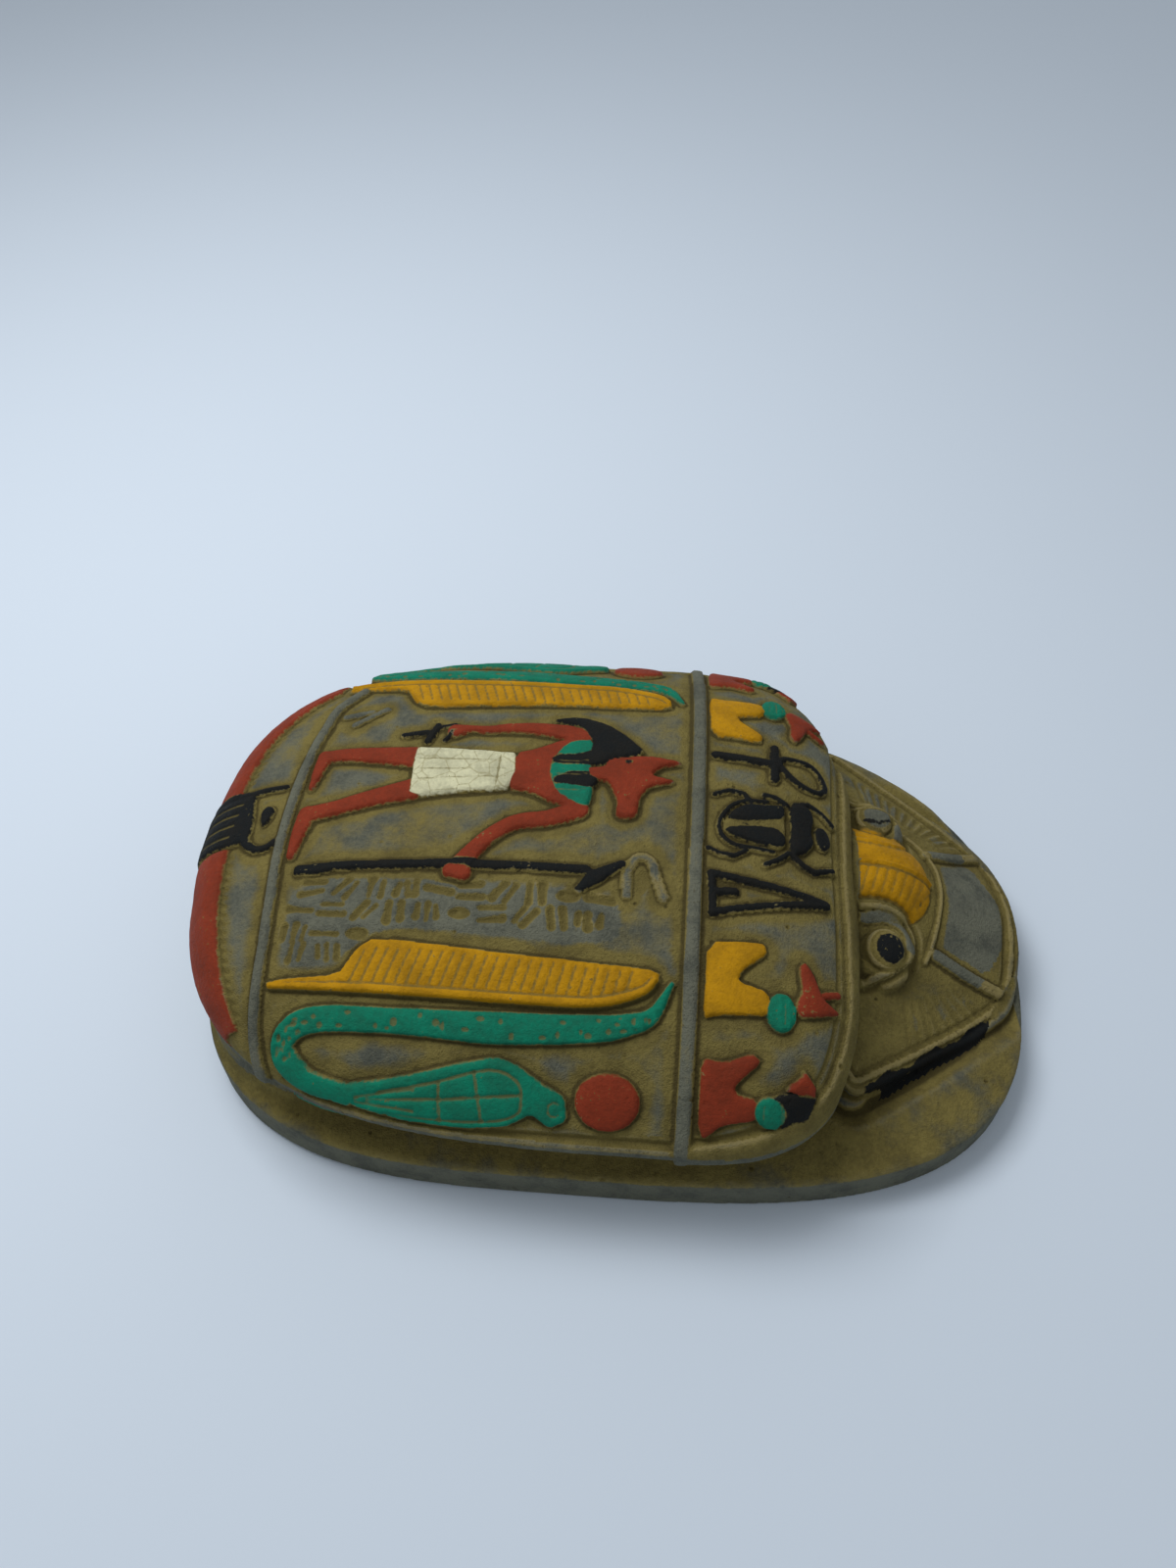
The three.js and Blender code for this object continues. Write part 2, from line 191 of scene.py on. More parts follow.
# Cuts the corners of a closed outline, so that it turns in short soft steps
def rounded(points, passes=2, share=0.22):
    points = np.asarray(points, float)
    for _ in range(passes):
        after = np.roll(points, -1, 0)
        points = np.stack([points * (1 - share) + after * share,
                           points * share + after * (1 - share)], 1).reshape(-1, 2)
    return points


def plateSolid():
    corners = rounded(plateOutline(), 2)
    middle = np.array([50.0, 0.0])
    thick, low = block["plateThickness"], block["slabHeight"]

    def ring(share, height):
        at = middle + (corners - middle) * share
        return np.column_stack([at, height(plateHeight(at[:, 0], at[:, 1]))])
    return loft([
        ring(0.86, lambda top: np.full_like(top, low - 2)),
        ring(0.86, lambda top: np.maximum(low - 1, top - thick - 2)),
        ring(0.985, lambda top: np.maximum(low - 0.5, top - thick)),
        ring(1.0, lambda top: top - 0.9),
        ring(0.985, lambda top: top),
        *[ring(share, lambda top: top) for share in np.linspace(0.9, 0.05, 12)],
    ])


def domeSolid(place, radii, around=96, down=48):
    turn = np.arange(around) / around * math.tau
    rings = []
    for drop in (np.arange(down) + 0.5) / down * math.pi:
        c, s = -np.cos(drop), np.sin(drop)
        rings.append(np.column_stack([
            place[0] + radii[0] * s * np.cos(turn), place[1] + radii[1] * s * np.sin(turn),
            np.full(around, place[2] + radii[2] * c)]))
    return loft(rings)


def joinedMesh(name, solids):
    points, faces, start = [], [], 0
    for solidPoints, solidFaces in solids:
        points.append(solidPoints)
        faces += [[start + i for i in face] for face in solidFaces]
        start += len(solidPoints)
    mesh = bpy.data.meshes.new(name)
    mesh.from_pydata(np.vstack(points), [], faces)
    return mesh


# The object's evaluated mesh as a plain mesh of its own, its modifiers gone
def settled(piece):
    graph = bpy.context.evaluated_depsgraph_get()
    mesh = bpy.data.meshes.new_from_object(piece.evaluated_get(graph))
    piece.modifiers.clear()
    old = piece.data
    piece.data = mesh
    bpy.data.meshes.remove(old)
    return mesh


def placesOf(mesh):
    places = np.empty(len(mesh.vertices) * 3, np.float32)
    mesh.vertices.foreach_get("co", places)
    return places.reshape(-1, 3).astype(float)


def edgesOf(mesh):
    pairs = np.empty(len(mesh.edges) * 2, np.int32)
    mesh.edges.foreach_get("vertices", pairs)
    return pairs.reshape(-1, 2)


# Mean of each vertex's neighbours, for one value or several a vertex
def neighbourMean(values, pairs, count):
    ends = np.concatenate([pairs[:, 0], pairs[:, 1]])
    others = np.concatenate([pairs[:, 1], pairs[:, 0]])
    total = np.bincount(ends, minlength=count).clip(1)
    if values.ndim == 1:
        return np.bincount(ends, values[others], count) / total
    return np.column_stack([np.bincount(ends, column[others], count) / total for column in values.T])


scene = bpy.context.scene
piece = bpy.data.objects.new("scarab_body", joinedMesh("scarab_body", [
    slabSolid(), neckSolid(), shellSolid(), plateSolid(), domeSolid(brow["place"], brow["radii"]),
    domeSolid(eye["place"], eye["radii"]),
    domeSolid((eye["place"][0], -eye["place"][1], eye["place"][2]), eye["radii"]),
]))
scene.collection.objects.link(piece)
joining = piece.modifiers.new("join", "REMESH")
joining.mode = "VOXEL"
joining.voxel_size = block["voxel"] * 1
mesh = settled(piece)
places = placesOf(mesh)
pairs = edgesOf(mesh)
for _ in range(block["softening"]):
    places += 0.5 * (neighbourMean(places, pairs, len(places)) - places)
# the shell's rear flank runs down into the slab
flank = (0.5 * smooth(-places[:, 0], *block["flankAlong"]) * smooth(places[:, 2], *block["flankFoot"])
         * smooth(-places[:, 2], *block["flankTop"]))
for _ in range(block["rearSoftening"]):
    places += flank[:, None] * (neighbourMean(places, pairs, len(places)) - places)
mesh.vertices.foreach_set("co", places.astype(np.float32).ravel())
print("block joined:", len(places), "points")


# Carving: figures drawn as signed distances over the block's places

def curved(points, count=24):
    points = np.asarray(points, float)
    padded = np.vstack([2 * points[0] - points[1], points, 2 * points[-1] - points[-2]])
    at = np.linspace(0, len(points) - 1, count)
    start = np.minimum(at.astype(int), len(points) - 2)
    t = (at - start)[:, None]
    a, b, c, d = (padded[start + i] for i in range(4))
    bend = (2 * a - 5 * b + 4 * c - d) * t ** 2
    twist = (3 * b - 3 * c + d - a) * t ** 3
    return 0.5 * (2 * b + (c - a) * t + bend + twist)


# Every value is kept a vertex: the rise of the relief, and how far each colour's edge is, negative inside
class Carving:
    colours = ("red", "green", "yellow", "black", "white", "grey", "tan")
    far = 9.0

    def __init__(self, places):
        self.x, self.y, self.z = places.T
        count = len(places)
        self.allowed = np.ones(count, bool)
        self.rise = np.zeros(count)
        self.edge = np.full(count, self.far)
        self.groove = np.full(count, self.far)
        self.paint = {colour: np.full(count, self.far) for colour in self.colours}

    def near(self, points, margin):
        low, high = np.min(points, 0) - margin, np.max(points, 0) + margin
        inside = (self.x > low[0]) & (self.x < high[0]) & (self.y > low[1]) & (self.y < high[1])
        return np.nonzero(inside & self.allowed)[0]

    def outline(self, corners, margin=6.0):
        corners = np.asarray(corners, float)
        at = self.near(corners, margin)
        x, y = self.x[at], self.y[at]
        nearest = np.full(len(at), 1e9)
        inside = np.zeros(len(at), bool)
        for (ax, ay), (bx, by) in zip(corners, np.roll(corners, -1, 0)):
            dx, dy = bx - ax, by - ay
            share = np.clip(((x - ax) * dx + (y - ay) * dy) / (dx * dx + dy * dy + 1e-12), 0, 1)
            nearest = np.minimum(nearest, (x - ax - share * dx) ** 2 + (y - ay - share * dy) ** 2)
            crosses = (ay > y) != (by > y)
            inside ^= crosses & (x < (bx - ax) * (y - ay) / (by - ay + 1e-12) + ax)
        return at, np.sqrt(nearest) * np.where(inside, -1, 1)

    def stroke(self, path, halfWidths, margin=6.0):
        path = np.asarray(path, float)
        widths = np.interp(np.linspace(0, 1, len(path)), np.linspace(0, 1, np.size(halfWidths)),
                           np.atleast_1d(halfWidths))
        at = self.near(path, margin + widths.max())
        x, y = self.x[at], self.y[at]
        nearest = np.full(len(at), 1e9)
        for i in range(len(path) - 1):
            (ax, ay), (bx, by) = path[i], path[i + 1]
            dx, dy = bx - ax, by - ay
            share = np.clip(((x - ax) * dx + (y - ay) * dy) / (dx * dx + dy * dy + 1e-12), 0, 1)
            width = widths[i] + (widths[i + 1] - widths[i]) * share
            nearest = np.minimum(nearest, np.hypot(x - ax - share * dx, y - ay - share * dy) - width)
        return at, nearest

    def oval(self, x, y, rx, ry, margin=6.0):
        reach = max(rx, ry)
        at = self.near([(x - reach, y - reach), (x + reach, y + reach)], margin)
        dx, dy = self.x[at] - x, self.y[at] - y
        near, steep = np.hypot(dx / rx, dy / ry), np.hypot(dx / rx ** 2, dy / ry ** 2)
        return at, near * (near - 1) / (steep + 1e-9)

    def ring(self, shape, half):
        at, distance = shape
        return at, np.abs(distance) - half

    # A figure stands up from the ground, with a soft edge and a slightly swollen top
    def lift(self, shape, rise=1.0, soft=0.8, swell=0.3):
        at, distance = shape
        inside = np.clip(0.5 - distance / soft, 0, 1)
        inside = inside * inside * (3 - 2 * inside)
        height = inside * (rise - swell) + swell * (1 - np.exp(np.minimum(distance, 0) / 1.5))
        self.rise[at] = np.where(inside > 0, np.maximum(self.rise[at], height), self.rise[at])
        self.edge[at] = np.minimum(self.edge[at], distance)

    # A groove or hollow cut into whatever is there
    def cut(self, shape, depth=0.4, soft=0.7):
        at, distance = shape
        inside = np.clip(0.5 - distance / soft, 0, 1)
        self.rise[at] -= depth * inside * inside * (3 - 2 * inside)
        self.groove[at] = np.minimum(self.groove[at], distance)

    def colour(self, shape, colour):
        at, distance = shape
        for other, edges in self.paint.items():
            if other == colour:
                edges[at] = np.minimum(edges[at], distance)
            else:
                edges[at] = np.maximum(edges[at], -distance)

    def figure(self, shape, colour, rise=1.0, soft=0.8, swell=0.3):
        self.lift(shape, rise, soft, swell)
        self.colour(shape, colour)

    # A figure along a curve; the limb is the curve's points and its half widths
    def limb(self, limb, colour, rise=1.0):
        points, halves = limb
        self.figure(self.stroke(curved(points), halves), colour, rise)


# How high each kind of form stands
rises = {"figure": 1.0, "upper": 1.1, "collar": 1.15, "head": 1.2, "bird": 0.9, "line": 0.8, "sign": 0.7}

walker = {
    "farArm": ([(-7.5, 19.3), (-10.8, 20.5), (-16.5, 21.2), (-21.6, 21.1), (-25.6, 20.5), (-29.2, 20.6),
                (-32.4, 19.9)], (2.2, 2, 1.5, 1.3, 1, 0.8, 1.7)),
    "loopedSign": (([(-42.6, 18.6), (-38, 19.6)], 0.7), ([(-36.2, 21.6), (-37.6, 17.1)], 0.75),
                   ([(-37.2, 19.8), (-36, 21), (-32.7, 21.9)], 0.5), ([(-34.2, 17.5), (-32.9, 19.4)], 0.5)),
    "farLeg": ([(-38, 12.4), (-45.5, 12.9), (-52.5, 13.2), (-57.2, 12.9)], (2.7, 2.1, 1.7, 1.4)),
    "farFoot": ([(-57.2, 12.9), (-57.9, 8.7), (-58.3, 5)], (1.6, 1.1, 0.6)),
    "nearLeg": ([(-38, 4.5), (-43, 3), (-47.5, 1.5), (-52, -0.1), (-57.2, -1.6)], (2.5, 2.1, 1.9, 1.7, 1.8)),
    "nearFoot": ([(-57.5, -1.5), (-58.2, -6), (-58.5, -11)], (1.9, 1.4, 0.8)),
    "body": [(-5.5, 19), (-10.7, 18.3), (-15.8, 15.3), (-20, 13.9), (-20.4, 4.9), (-16.1, 4.4), (-11, 1.7),
             (-5, 1.2)],
    "nearArm": ([(-6.6, 0.6), (-12, -1.6), (-17.4, -2.6), (-21.2, -5.2), (-24.5, -9), (-27, -13.4)],
                (2, 1.8, 1.6, 1.6, 1.6, 2.2)),
    "kilt": [(-38.9, 14.8), (-30, 14.6), (-19.8, 13.9), (-19.3, 9), (-20.4, 4.9), (-30.8, 3.6), (-36.2, 2.5),
             (-38.5, 3.3), (-39.1, 9)],
    "pleats": (0.26, 0.5, 0.76),     # shares of the kilt's width
    "hem": [(-22.6, 5.2), (-22.4, 13.4)],
    "collar": [(-5.4, 18.2), (-9.8, 16.6), (-12.5, 11), (-11.7, 6), (-9, 3.1), (-5, 1.6), (-4.4, 8),
               (-5.2, 12), (-4.6, 15), (-5.4, 18.2)],
    "collarLines": (5, 8.8, 12.2),
    "wig": [(-14, 23.8), (-8, 25), (-2.7, 23.3), (1.5, 19.9), (5.6, 15.1), (-1.3, 13.5), (-3, 11.5),
            (-12.2, 10.9), (-12.8, 13.2), (-5.5, 14.2), (-4.8, 17.6), (-7.7, 22), (-10.8, 22.9)],
    "wigEnd": ([(-11, 7.1), (-8.5, 7.7), (-5.4, 7.6)], (0.9, 1.6, 1.9)),
    "face": [(-5.6, 10.7), (-2.4, 11.4), (-1.7, 13.3), (5.4, 14.8), (12.9, 13.5), (8.5, 12.2), (6.4, 9.8),
             (11.5, 8.6), (6.2, 6.8), (4.6, 4.1), (4.2, -0.2), (2.2, -0.9), (0.4, -0.2), (0.5, 3.2),
             (-1.4, 7.6), (-5, 8.4)],
    "eye": (2.1, 12.4, 0.8, 0.6),
    "staff": (([(-56.2, -14.2), (-52.9, -13.9), (-50, -13.4)], (1.1, 1.2, 0.9)),
              ([(-50.3, -13.3), (-29, -12.3), (-13.3, -12.3), (-4, -12.4)], 0.95),
              ([(-5, -16.4), (-2.4, -13.8), (2.2, -10.8)], (0.8, 1.6, 0.8))),
    "hand": ([(-28.4, -14), (-25.9, -14.4)], (1.3, 1.5)),
}


def carveWalker(c):
    c.limb(walker["farArm"], "red")
    for path, half in walker["loopedSign"]:
        c.figure(c.stroke(path, half), "black", rises["sign"])
    for limb in ("farLeg", "farFoot", "nearLeg", "nearFoot"):
        c.limb(walker[limb], "red")
    c.figure(c.outline(rounded(walker["body"], 1)), "red", rises["upper"])
    c.limb(walker["nearArm"], "red")
    c.figure(c.outline(walker["kilt"]), "white", rises["head"], 0.6)
    for share in walker["pleats"]:
        c.cut(c.stroke([(-38.2, 3.6 + 10.6 * share), (-21, 5.6 + 7.6 * share)], 0.12), 0.22, 0.5)
    c.cut(c.stroke(walker["hem"], 0.15), 0.3, 0.5)
    c.figure(c.outline(curved(walker["collar"], 36)), "green", rises["collar"])
    c.figure(c.outline(rounded(walker["wig"], 1)), "black", rises["head"])
    c.figure(c.stroke(*walker["wigEnd"]), "black", rises["head"])
    c.figure(c.outline(rounded(walker["face"], 1, 0.15)), "red", rises["head"])
    c.colour(c.oval(*walker["eye"]), "black")
    for y in walker["collarLines"]:
        c.cut(c.stroke(curved([(-11.6, y), (-8.6, y - 0.3), (-5.6, y + 0.2)], 8), 0.1), 0.25, 0.4)
    for path, halves in walker["staff"]:
        c.figure(c.stroke(path, halves), "black", rises["line"])
    c.figure(c.stroke(*walker["hand"]), "red", rises["collar"])


# The strip of marks under the staff: rows of short strokes that spell nothing
strip = {
    "field": [(-56.7, -15.6), (-31.3, -15.6), (2.2, -16.4), (3.4, -24.6), (-2.5, -27.4), (-22.9, -26.1),
              (-36.7, -25.6), (-41.5, -28.4), (-46.2, -32.6), (-56.4, -32.6)],
    "inset": 0.6,
    "rise": 0.25,
    "bars": {
        "rungs": [(-2.1, 1.2, 1.7, 1.4), (-2.1, -1, 1.9, -0.8)],
        "pair": [(-1, 1.7, -0.9, -1.7), (1, 1.6, 1.1, -1.5)],
        "long": [(-2.2, 0.2, 2.2, -0.2)],
        "lean": [(-1.8, -1.3, 0.2, 1.5), (0.2, -1.4, 1.9, 1.2)],
        "comb": [(-1.7, 1.1, -1.7, -1.1), (0, 1.3, 0, -1.3), (1.7, 1.1, 1.7, -1.1)],
    },
    # y, first x and count of each row
    "rows": ((-17.9, -52.5, 10), (-22.2, -54, 10), (-26.6, -54.5, 3), (-30, -53.5, 2)),
    "pitch": 5.7,
    "hollows": ((1, 5), (0, 8), (2, 2)),     # row and place of an oval hollow
    "hollowRadii": (1.9, 1.1),
    "markHalf": (0.35, 0.8),
    "markShift": 0.35,
    "markDepth": 0.6,
    "tanMargin": 0.4,
    "hook": [(3.4, -16.8), (3.2, -12.2), (4.9, -9.2), (7.2, -9.7), (8.4, -13), (9.8, -17)],
    "hookHollow": (5.9, -14.2, 1, 2.3),
}


def carveStrip(c):
    at, distance = c.outline(rounded(strip["field"], 1))
    distance = distance + strip["inset"]
    c.rise[at] += strip["rise"] * smooth(-distance, -1.6, 1.6)
    c.colour((at, distance), "grey")
    order = list(strip["bars"])
    loose = np.random.default_rng(5)
    for row, (y, first, count) in enumerate(strip["rows"]):
        for n in range(count):
            x = first + n * strip["pitch"]
            if (row, n) in strip["hollows"]:
                hollow = c.oval(x, y, *strip["hollowRadii"])
                c.cut(hollow, 0.55)
                c.colour((hollow[0], hollow[1] - strip["tanMargin"]), "tan")
                continue
            for bar in strip["bars"][order[(n * 3 + row * 2) % len(order)]]:
                ax, ay, bx, by = np.array(bar) + loose.uniform(-strip["markShift"], strip["markShift"], 4)
                mark = c.stroke([(x + ax, y + ay), (x + bx, y + by)], loose.uniform(*strip["markHalf"], 2))
                c.cut(mark, strip["markDepth"], 1.0)
                c.colour((mark[0], mark[1] - strip["tanMargin"]), "tan")
    hook = c.stroke(curved(strip["hook"]), 1)
    c.lift(hook, 0.45)
    c.colour((hook[0], hook[1] + 0.9), "grey")
    inner = c.oval(*strip["hookHollow"])
    c.cut(inner, 0.3)
    c.colour(inner, "tan")


pair = {
    "vane": [(-57.8, -34.8), (-45, -34), (-42.4, -29.4), (-39.7, -27.4), (-15.8, -29.1), (7.6, -30),
             (10.2, -31), (7.2, -34.7), (1, -36.7), (-14, -37.3), (-35.1, -36.9), (-57.6, -36.2)],
    "barbs": 25,
    "barbPitch": 1.95,
    "spine": [(-57, -35.6), (-44, -36), (-18.4, -36.3), (-1.9, -36.1), (6.7, -34), (9.2, -31.8)],
    "spineHalf": (0.5, 0.8, 0.8, 0.8, 0.6),
    "snake": [(12, -32.4), (9, -37.4), (4.9, -39), (-1.6, -40), (-17.9, -40.9), (-34.6, -40.8),
              (-48.3, -40.9), (-53, -42.9), (-53.2, -45.6), (-48.9, -48.8), (-41.6, -50.8)],
    "snakeHalf": (0.4, 1.3, 1.7, 2.1, 2.4, 1.9, 2, 2.1, 2, 1.3, 1.2),
    "hood": [(-43.3, -49.8), (-32.2, -48.5), (-23.2, -46.3), (-16.7, -45), (-12.5, -46.1), (-8.8, -48.1),
             (-4.7, -49.7), (-4.2, -52.7), (-7.1, -53.8), (-10.2, -52.2), (-12.5, -53.2), (-14.4, -54),
             (-21.8, -54.5), (-32, -53.8), (-41, -52)],
    "hoodRim": [(-36, -50.4), (-27.1, -49), (-19.5, -47.1), (-15.5, -46.9), (-12.6, -48.2), (-11.9, -50.3),
                (-12.6, -52.3), (-17, -53.4), (-25.2, -53.6), (-35, -53)],
    "hoodLines": ([(-38, -51.3), (-25.3, -51), (-12.2, -49.8)], [(-25.9, -49), (-25.5, -53.6)],
                  [(-20, -47.2), (-19.2, -50.5), (-18.4, -53.4)], [(-40, -51), (-30, -50)],
                  [(-40, -51.6), (-30, -52.6)]),
    "eye": (-6.4, -51.3),
    "disc": (2.3, -49.9),
    "discRadii": (5.4, 3.8),
}


# A feather and a reared snake with its red disc; side is -1 for the near ones, 1 for their mirror images
def carvePair(c, side):
    def placed(points):
        return np.asarray(points, float) * (1, -side)
    c.figure(c.outline(placed(rounded(pair["vane"], 1, 0.15))), "yellow")
    for n in range(pair["barbs"]):
        x = -42.6 + n * pair["barbPitch"]
        c.cut(c.stroke(placed([(x, -34.9), (x + 1.9 - n * 0.03, -29.4 - n * 0.02)]), 0.2, 3), 0.34, 0.8)
    spine = c.stroke(placed(curved(pair["spine"])), pair["spineHalf"])
    c.figure(spine, "yellow", 1.45, 0.7)
    c.cut(c.ring(spine, 0.16), 0.25, 0.4)
    body = curved(pair["snake"], 60)
    c.figure(c.stroke(placed(body), pair["snakeHalf"]), "green", rises["upper"])
    spots = np.random.default_rng(11)
    for spot in body[4:50]:
        x, y = placed([spot])[0] + spots.uniform(-1.3, 1.3, 2)
        c.cut(c.oval(x, y, *spots.uniform(0.3, 0.75, 2), 2), 0.3, 0.4)
    c.figure(c.outline(placed(rounded(pair["hood"], 1, 0.15))), "green", rises["upper"])
    for path in (curved(pair["hoodRim"], 40), *pair["hoodLines"]):
        c.cut(c.stroke(placed(path), 0.22, 2), 0.42, 0.7)
    c.cut(c.ring(c.oval(*placed([pair["eye"]])[0], 1.1, 0.9, 2), 0.12), 0.3, 0.4)
    c.figure(c.oval(*placed([pair["disc"]])[0], *pair["discRadii"]), "red", rises["head"], 0.8, 0.6)


seated = {
    "farShift": -2.6,     # the far ones sit nearer the middle than a mirror image would
    "innerBody": [(17.7, -24.8), (27.4, -24.2), (27.9, -26.2), (23.6, -29.6), (23, -31.4), (28.2, -32.8),
                  (28.5, -36.6), (19.7, -36.9), (17.4, -37.5)],
    "birdHead": [(33, -33.6), (33.9, -31.6), (33.4, -27.6), (34.4, -26.4), (35.8, -28.2), (37.4, -32.2),
                 (40.8, -33.7), (36.5, -35.4), (33.5, -36.2), (32.7, -34.9)],
    "crest": [(37.6, -31.6), (40.3, -30.5)],
    "outerBody": [(17.4, -43.3), (21.5, -43.9), (25.8, -42.4), (27.3, -43.5), (23, -47.1), (23.6, -48.1),
                  (26.8, -48.6), (26.9, -51.2), (21.3, -52.1), (18.3, -54), (17.4, -52)],
    "wig": [(29.4, -48), (33, -46.9), (36.8, -46.7), (35.4, -49.5), (30.8, -51.5), (31.3, -49.9)],
    "face": [(31.6, -46.9), (34.1, -44.6), (34.5, -43.8), (36.5, -45.4), (36.5, -46.7), (33.4, -47.1)],
    "collars": ((30.4, -35.8, 2.5, 3.1), (29, -50, 2.5, 1.9)),
    "collarLines": (-0.4, 0.15, 0.7),
}


# Two seated figures on the collar, one with a bird's head and one with a wig
def carveSeated(c, side):
    def placed(points):
        return np.asarray(points, float) * (1, -side) + (0, seated["farShift"] * (side > 0))

    def soft(name):
        return c.outline(placed(rounded(seated[name], 1, 0.15)))
    c.figure(soft("innerBody"), "yellow")
    c.figure(soft("birdHead"), "red")
    c.figure(c.stroke(placed(seated["crest"]), 0.6), "red", rises["line"])
    c.figure(soft("outerBody"), "red")
    c.figure(c.outline(placed(seated["wig"])), "black")
    c.figure(c.outline(placed(seated["face"])), "red")
    for x, y, rx, ry in seated["collars"]:
        x, y = placed([(x, y)])[0]
        c.figure(c.oval(x, y, rx, ry), "green", rises["upper"])
        for line in seated["collarLines"]:
            c.cut(c.stroke([(x + line * rx, y - ry * 0.8), (x + line * rx, y + ry * 0.8)], 0.1), 0.3, 0.4)


signs = {
    "crossBars": (([(18.5, 16.8), (29.5, 16.2)], (0.9, 1)), ([(30.2, 20.9), (29.9, 12.4)], (0.8, 1))),
    "crossLoop": [(31, 16.4), (31.4, 18), (33.7, 18.4), (36.9, 18.2), (38.9, 16.5), (39.9, 13.6), (39, 12),
                  (37.3, 11.5), (35, 12.2), (33, 13.8), (31, 16.2)],
    "beetleGround": [(20, -1.4), (20.4, 1.2), (24.4, 5.2), (31.6, 6), (31.7, -3), (30.4, -4.2), (23, -3.4)],
    "wingCases": ([(20.5, 1), (22, 3.4), (24.4, 5.1), (28.6, 5.4), (31.5, 6), (31.6, 2.5), (27.6, 1.5),
                   (24, 1)],
                  [(20, -1.2), (24.9, 0), (29.6, 0.3), (31.4, -0.9), (31.7, -2.8), (30.6, -4.2),
                   (25.8, -3.8), (21.5, -2.7)]),
    "beetleEdge": [(28.4, 6.3), (24.4, 5.9), (21.6, 4.3), (19.7, 1.2), (19.4, -1.4), (20.6, -3.6),
                   (23.1, -4.7), (26.1, -4.8), (29.3, -5)],
    "legs": (([(18.5, 6.7), (21.3, 8), (24, 7.6), (25.3, 5.6)], 0.5),
             ([(27.9, 8), (30.1, 7.6), (32, 6.4)], 0.6),
             ([(33.7, 6.9), (36.2, 7.7), (38.7, 6.6), (40.8, 4.9)], 0.6),
             ([(17.4, -5.9), (19.6, -6.9), (22.2, -7), (24.3, -5.6)], 0.5),
             ([(27.8, -8), (30.2, -6.5), (32.2, -4.6)], 0.6),
             ([(32.6, -4.6), (34.7, -6.7), (36.9, -7.5), (40.4, -5.8)], 0.6)),
    "thorax": [(32.3, 5.9), (34.3, 7.3), (36.5, 6.5), (37.1, 4), (36.3, 0.8), (37, -1.5), (35.4, -3.9),
               (33.3, -4.9), (32.1, -3.4), (32.7, 0.8)],
    "beetleHead": [(37.1, 2.2), (38.6, 3.4), (40, 2), (40.3, -0.5), (39, -2.4), (37.6, -1.7)],
    "triangle": (((18, -11.3), (38.8, -13.9)), ((38.8, -14.1), (18.4, -19.2)),
                 ((18.1, -11.4), (18.5, -19.1)), ((18.5, -15), (22.3, -14.7))),
}


# A looped cross, a beetle and a triangle along the middle of the collar
def carveSigns(c):
    for path, halves in signs["crossBars"]:
        c.figure(c.stroke(path, halves), "black", rises["line"])
    c.figure(c.stroke(curved(signs["crossLoop"], 40), 0.65), "black", rises["line"])
    c.figure(c.outline(signs["beetleGround"]), "tan", 0.6)
    for case in signs["wingCases"]:
        c.figure(c.outline(rounded(case, 1)), "black", rises["upper"])
    for path, half in ((curved(signs["beetleEdge"]), 0.5), *signs["legs"]):
        c.figure(c.stroke(path, half), "black", rises["line"])
    c.figure(c.outline(rounded(signs["thorax"], 1)), "black", rises["upper"])
    c.figure(c.outline(rounded(signs["beetleHead"], 1)), "black", rises["bird"])
    for ends in signs["triangle"]:
        c.figure(c.stroke(ends, 0.8), "black", rises["line"])


rear = {
    "from": -60.0,       # the bands lie behind this x
    "scale": 82,         # turns a share of the outline into millimetres
    "nearInner": 0.9, "nearGrowth": 0.075, "nearStart": 12, "nearReach": 30, "nearPower": 2.5,
    "nearEnd": 41.5,
    "farInner": 0.912, "farGrowth": -0.012, "farStart": 8, "farReach": 20,
    "markHalf": (7.4, 5.2),     # half width kept free for the mark, on the near and the far side
    "ticks": 44, "tickFrom": -39, "tickPitch": 1.75, "tickGap": (-9, 8),
    "mark": [(-82, -6.6), (-72.2, -7), (-69.3, -6.9), (-68.3, -4.8), (-70.2, 4.6), (-82, 5)],
    "markLines": 4,
    "bar": ([(-80, 5.6), (-70.7, 5.3), (-63.5, 5.9)], (0.9, 0.6)),
    "crook": ([(-70.6, 4), (-69.2, -2.9), (-69, -6.4), (-66.4, -8.7), (-64, -8.6), (-62.6, -7.3)],
              (1, 0.9, 0.7)),
    "drop": [(-66.6, -3), (-67.3, 0.1), (-66.3, 1.5), (-64.5, 0.8), (-64.8, -1.7), (-65.8, -3.5)],
    "looseMarks": ([(-53.5, 22.2), (-51.2, 24), (-47.8, 27)], [(-56, 25), (-50.7, 26.2)]),
}


# Share of the outline at which a band ends inwards, by how far off the middle it is
def bandInner(y):
    side = np.abs(y)
    near = rear["nearInner"] + rear["nearGrowth"] * np.clip(
        (side - rear["nearStart"]) / rear["nearReach"], 0, 1) ** rear["nearPower"]
    far = rear["farInner"] + rear["farGrowth"] * np.clip((side - rear["farStart"]) / rear["farReach"], 0, 1)
    return np.where(y > 0, far, near)


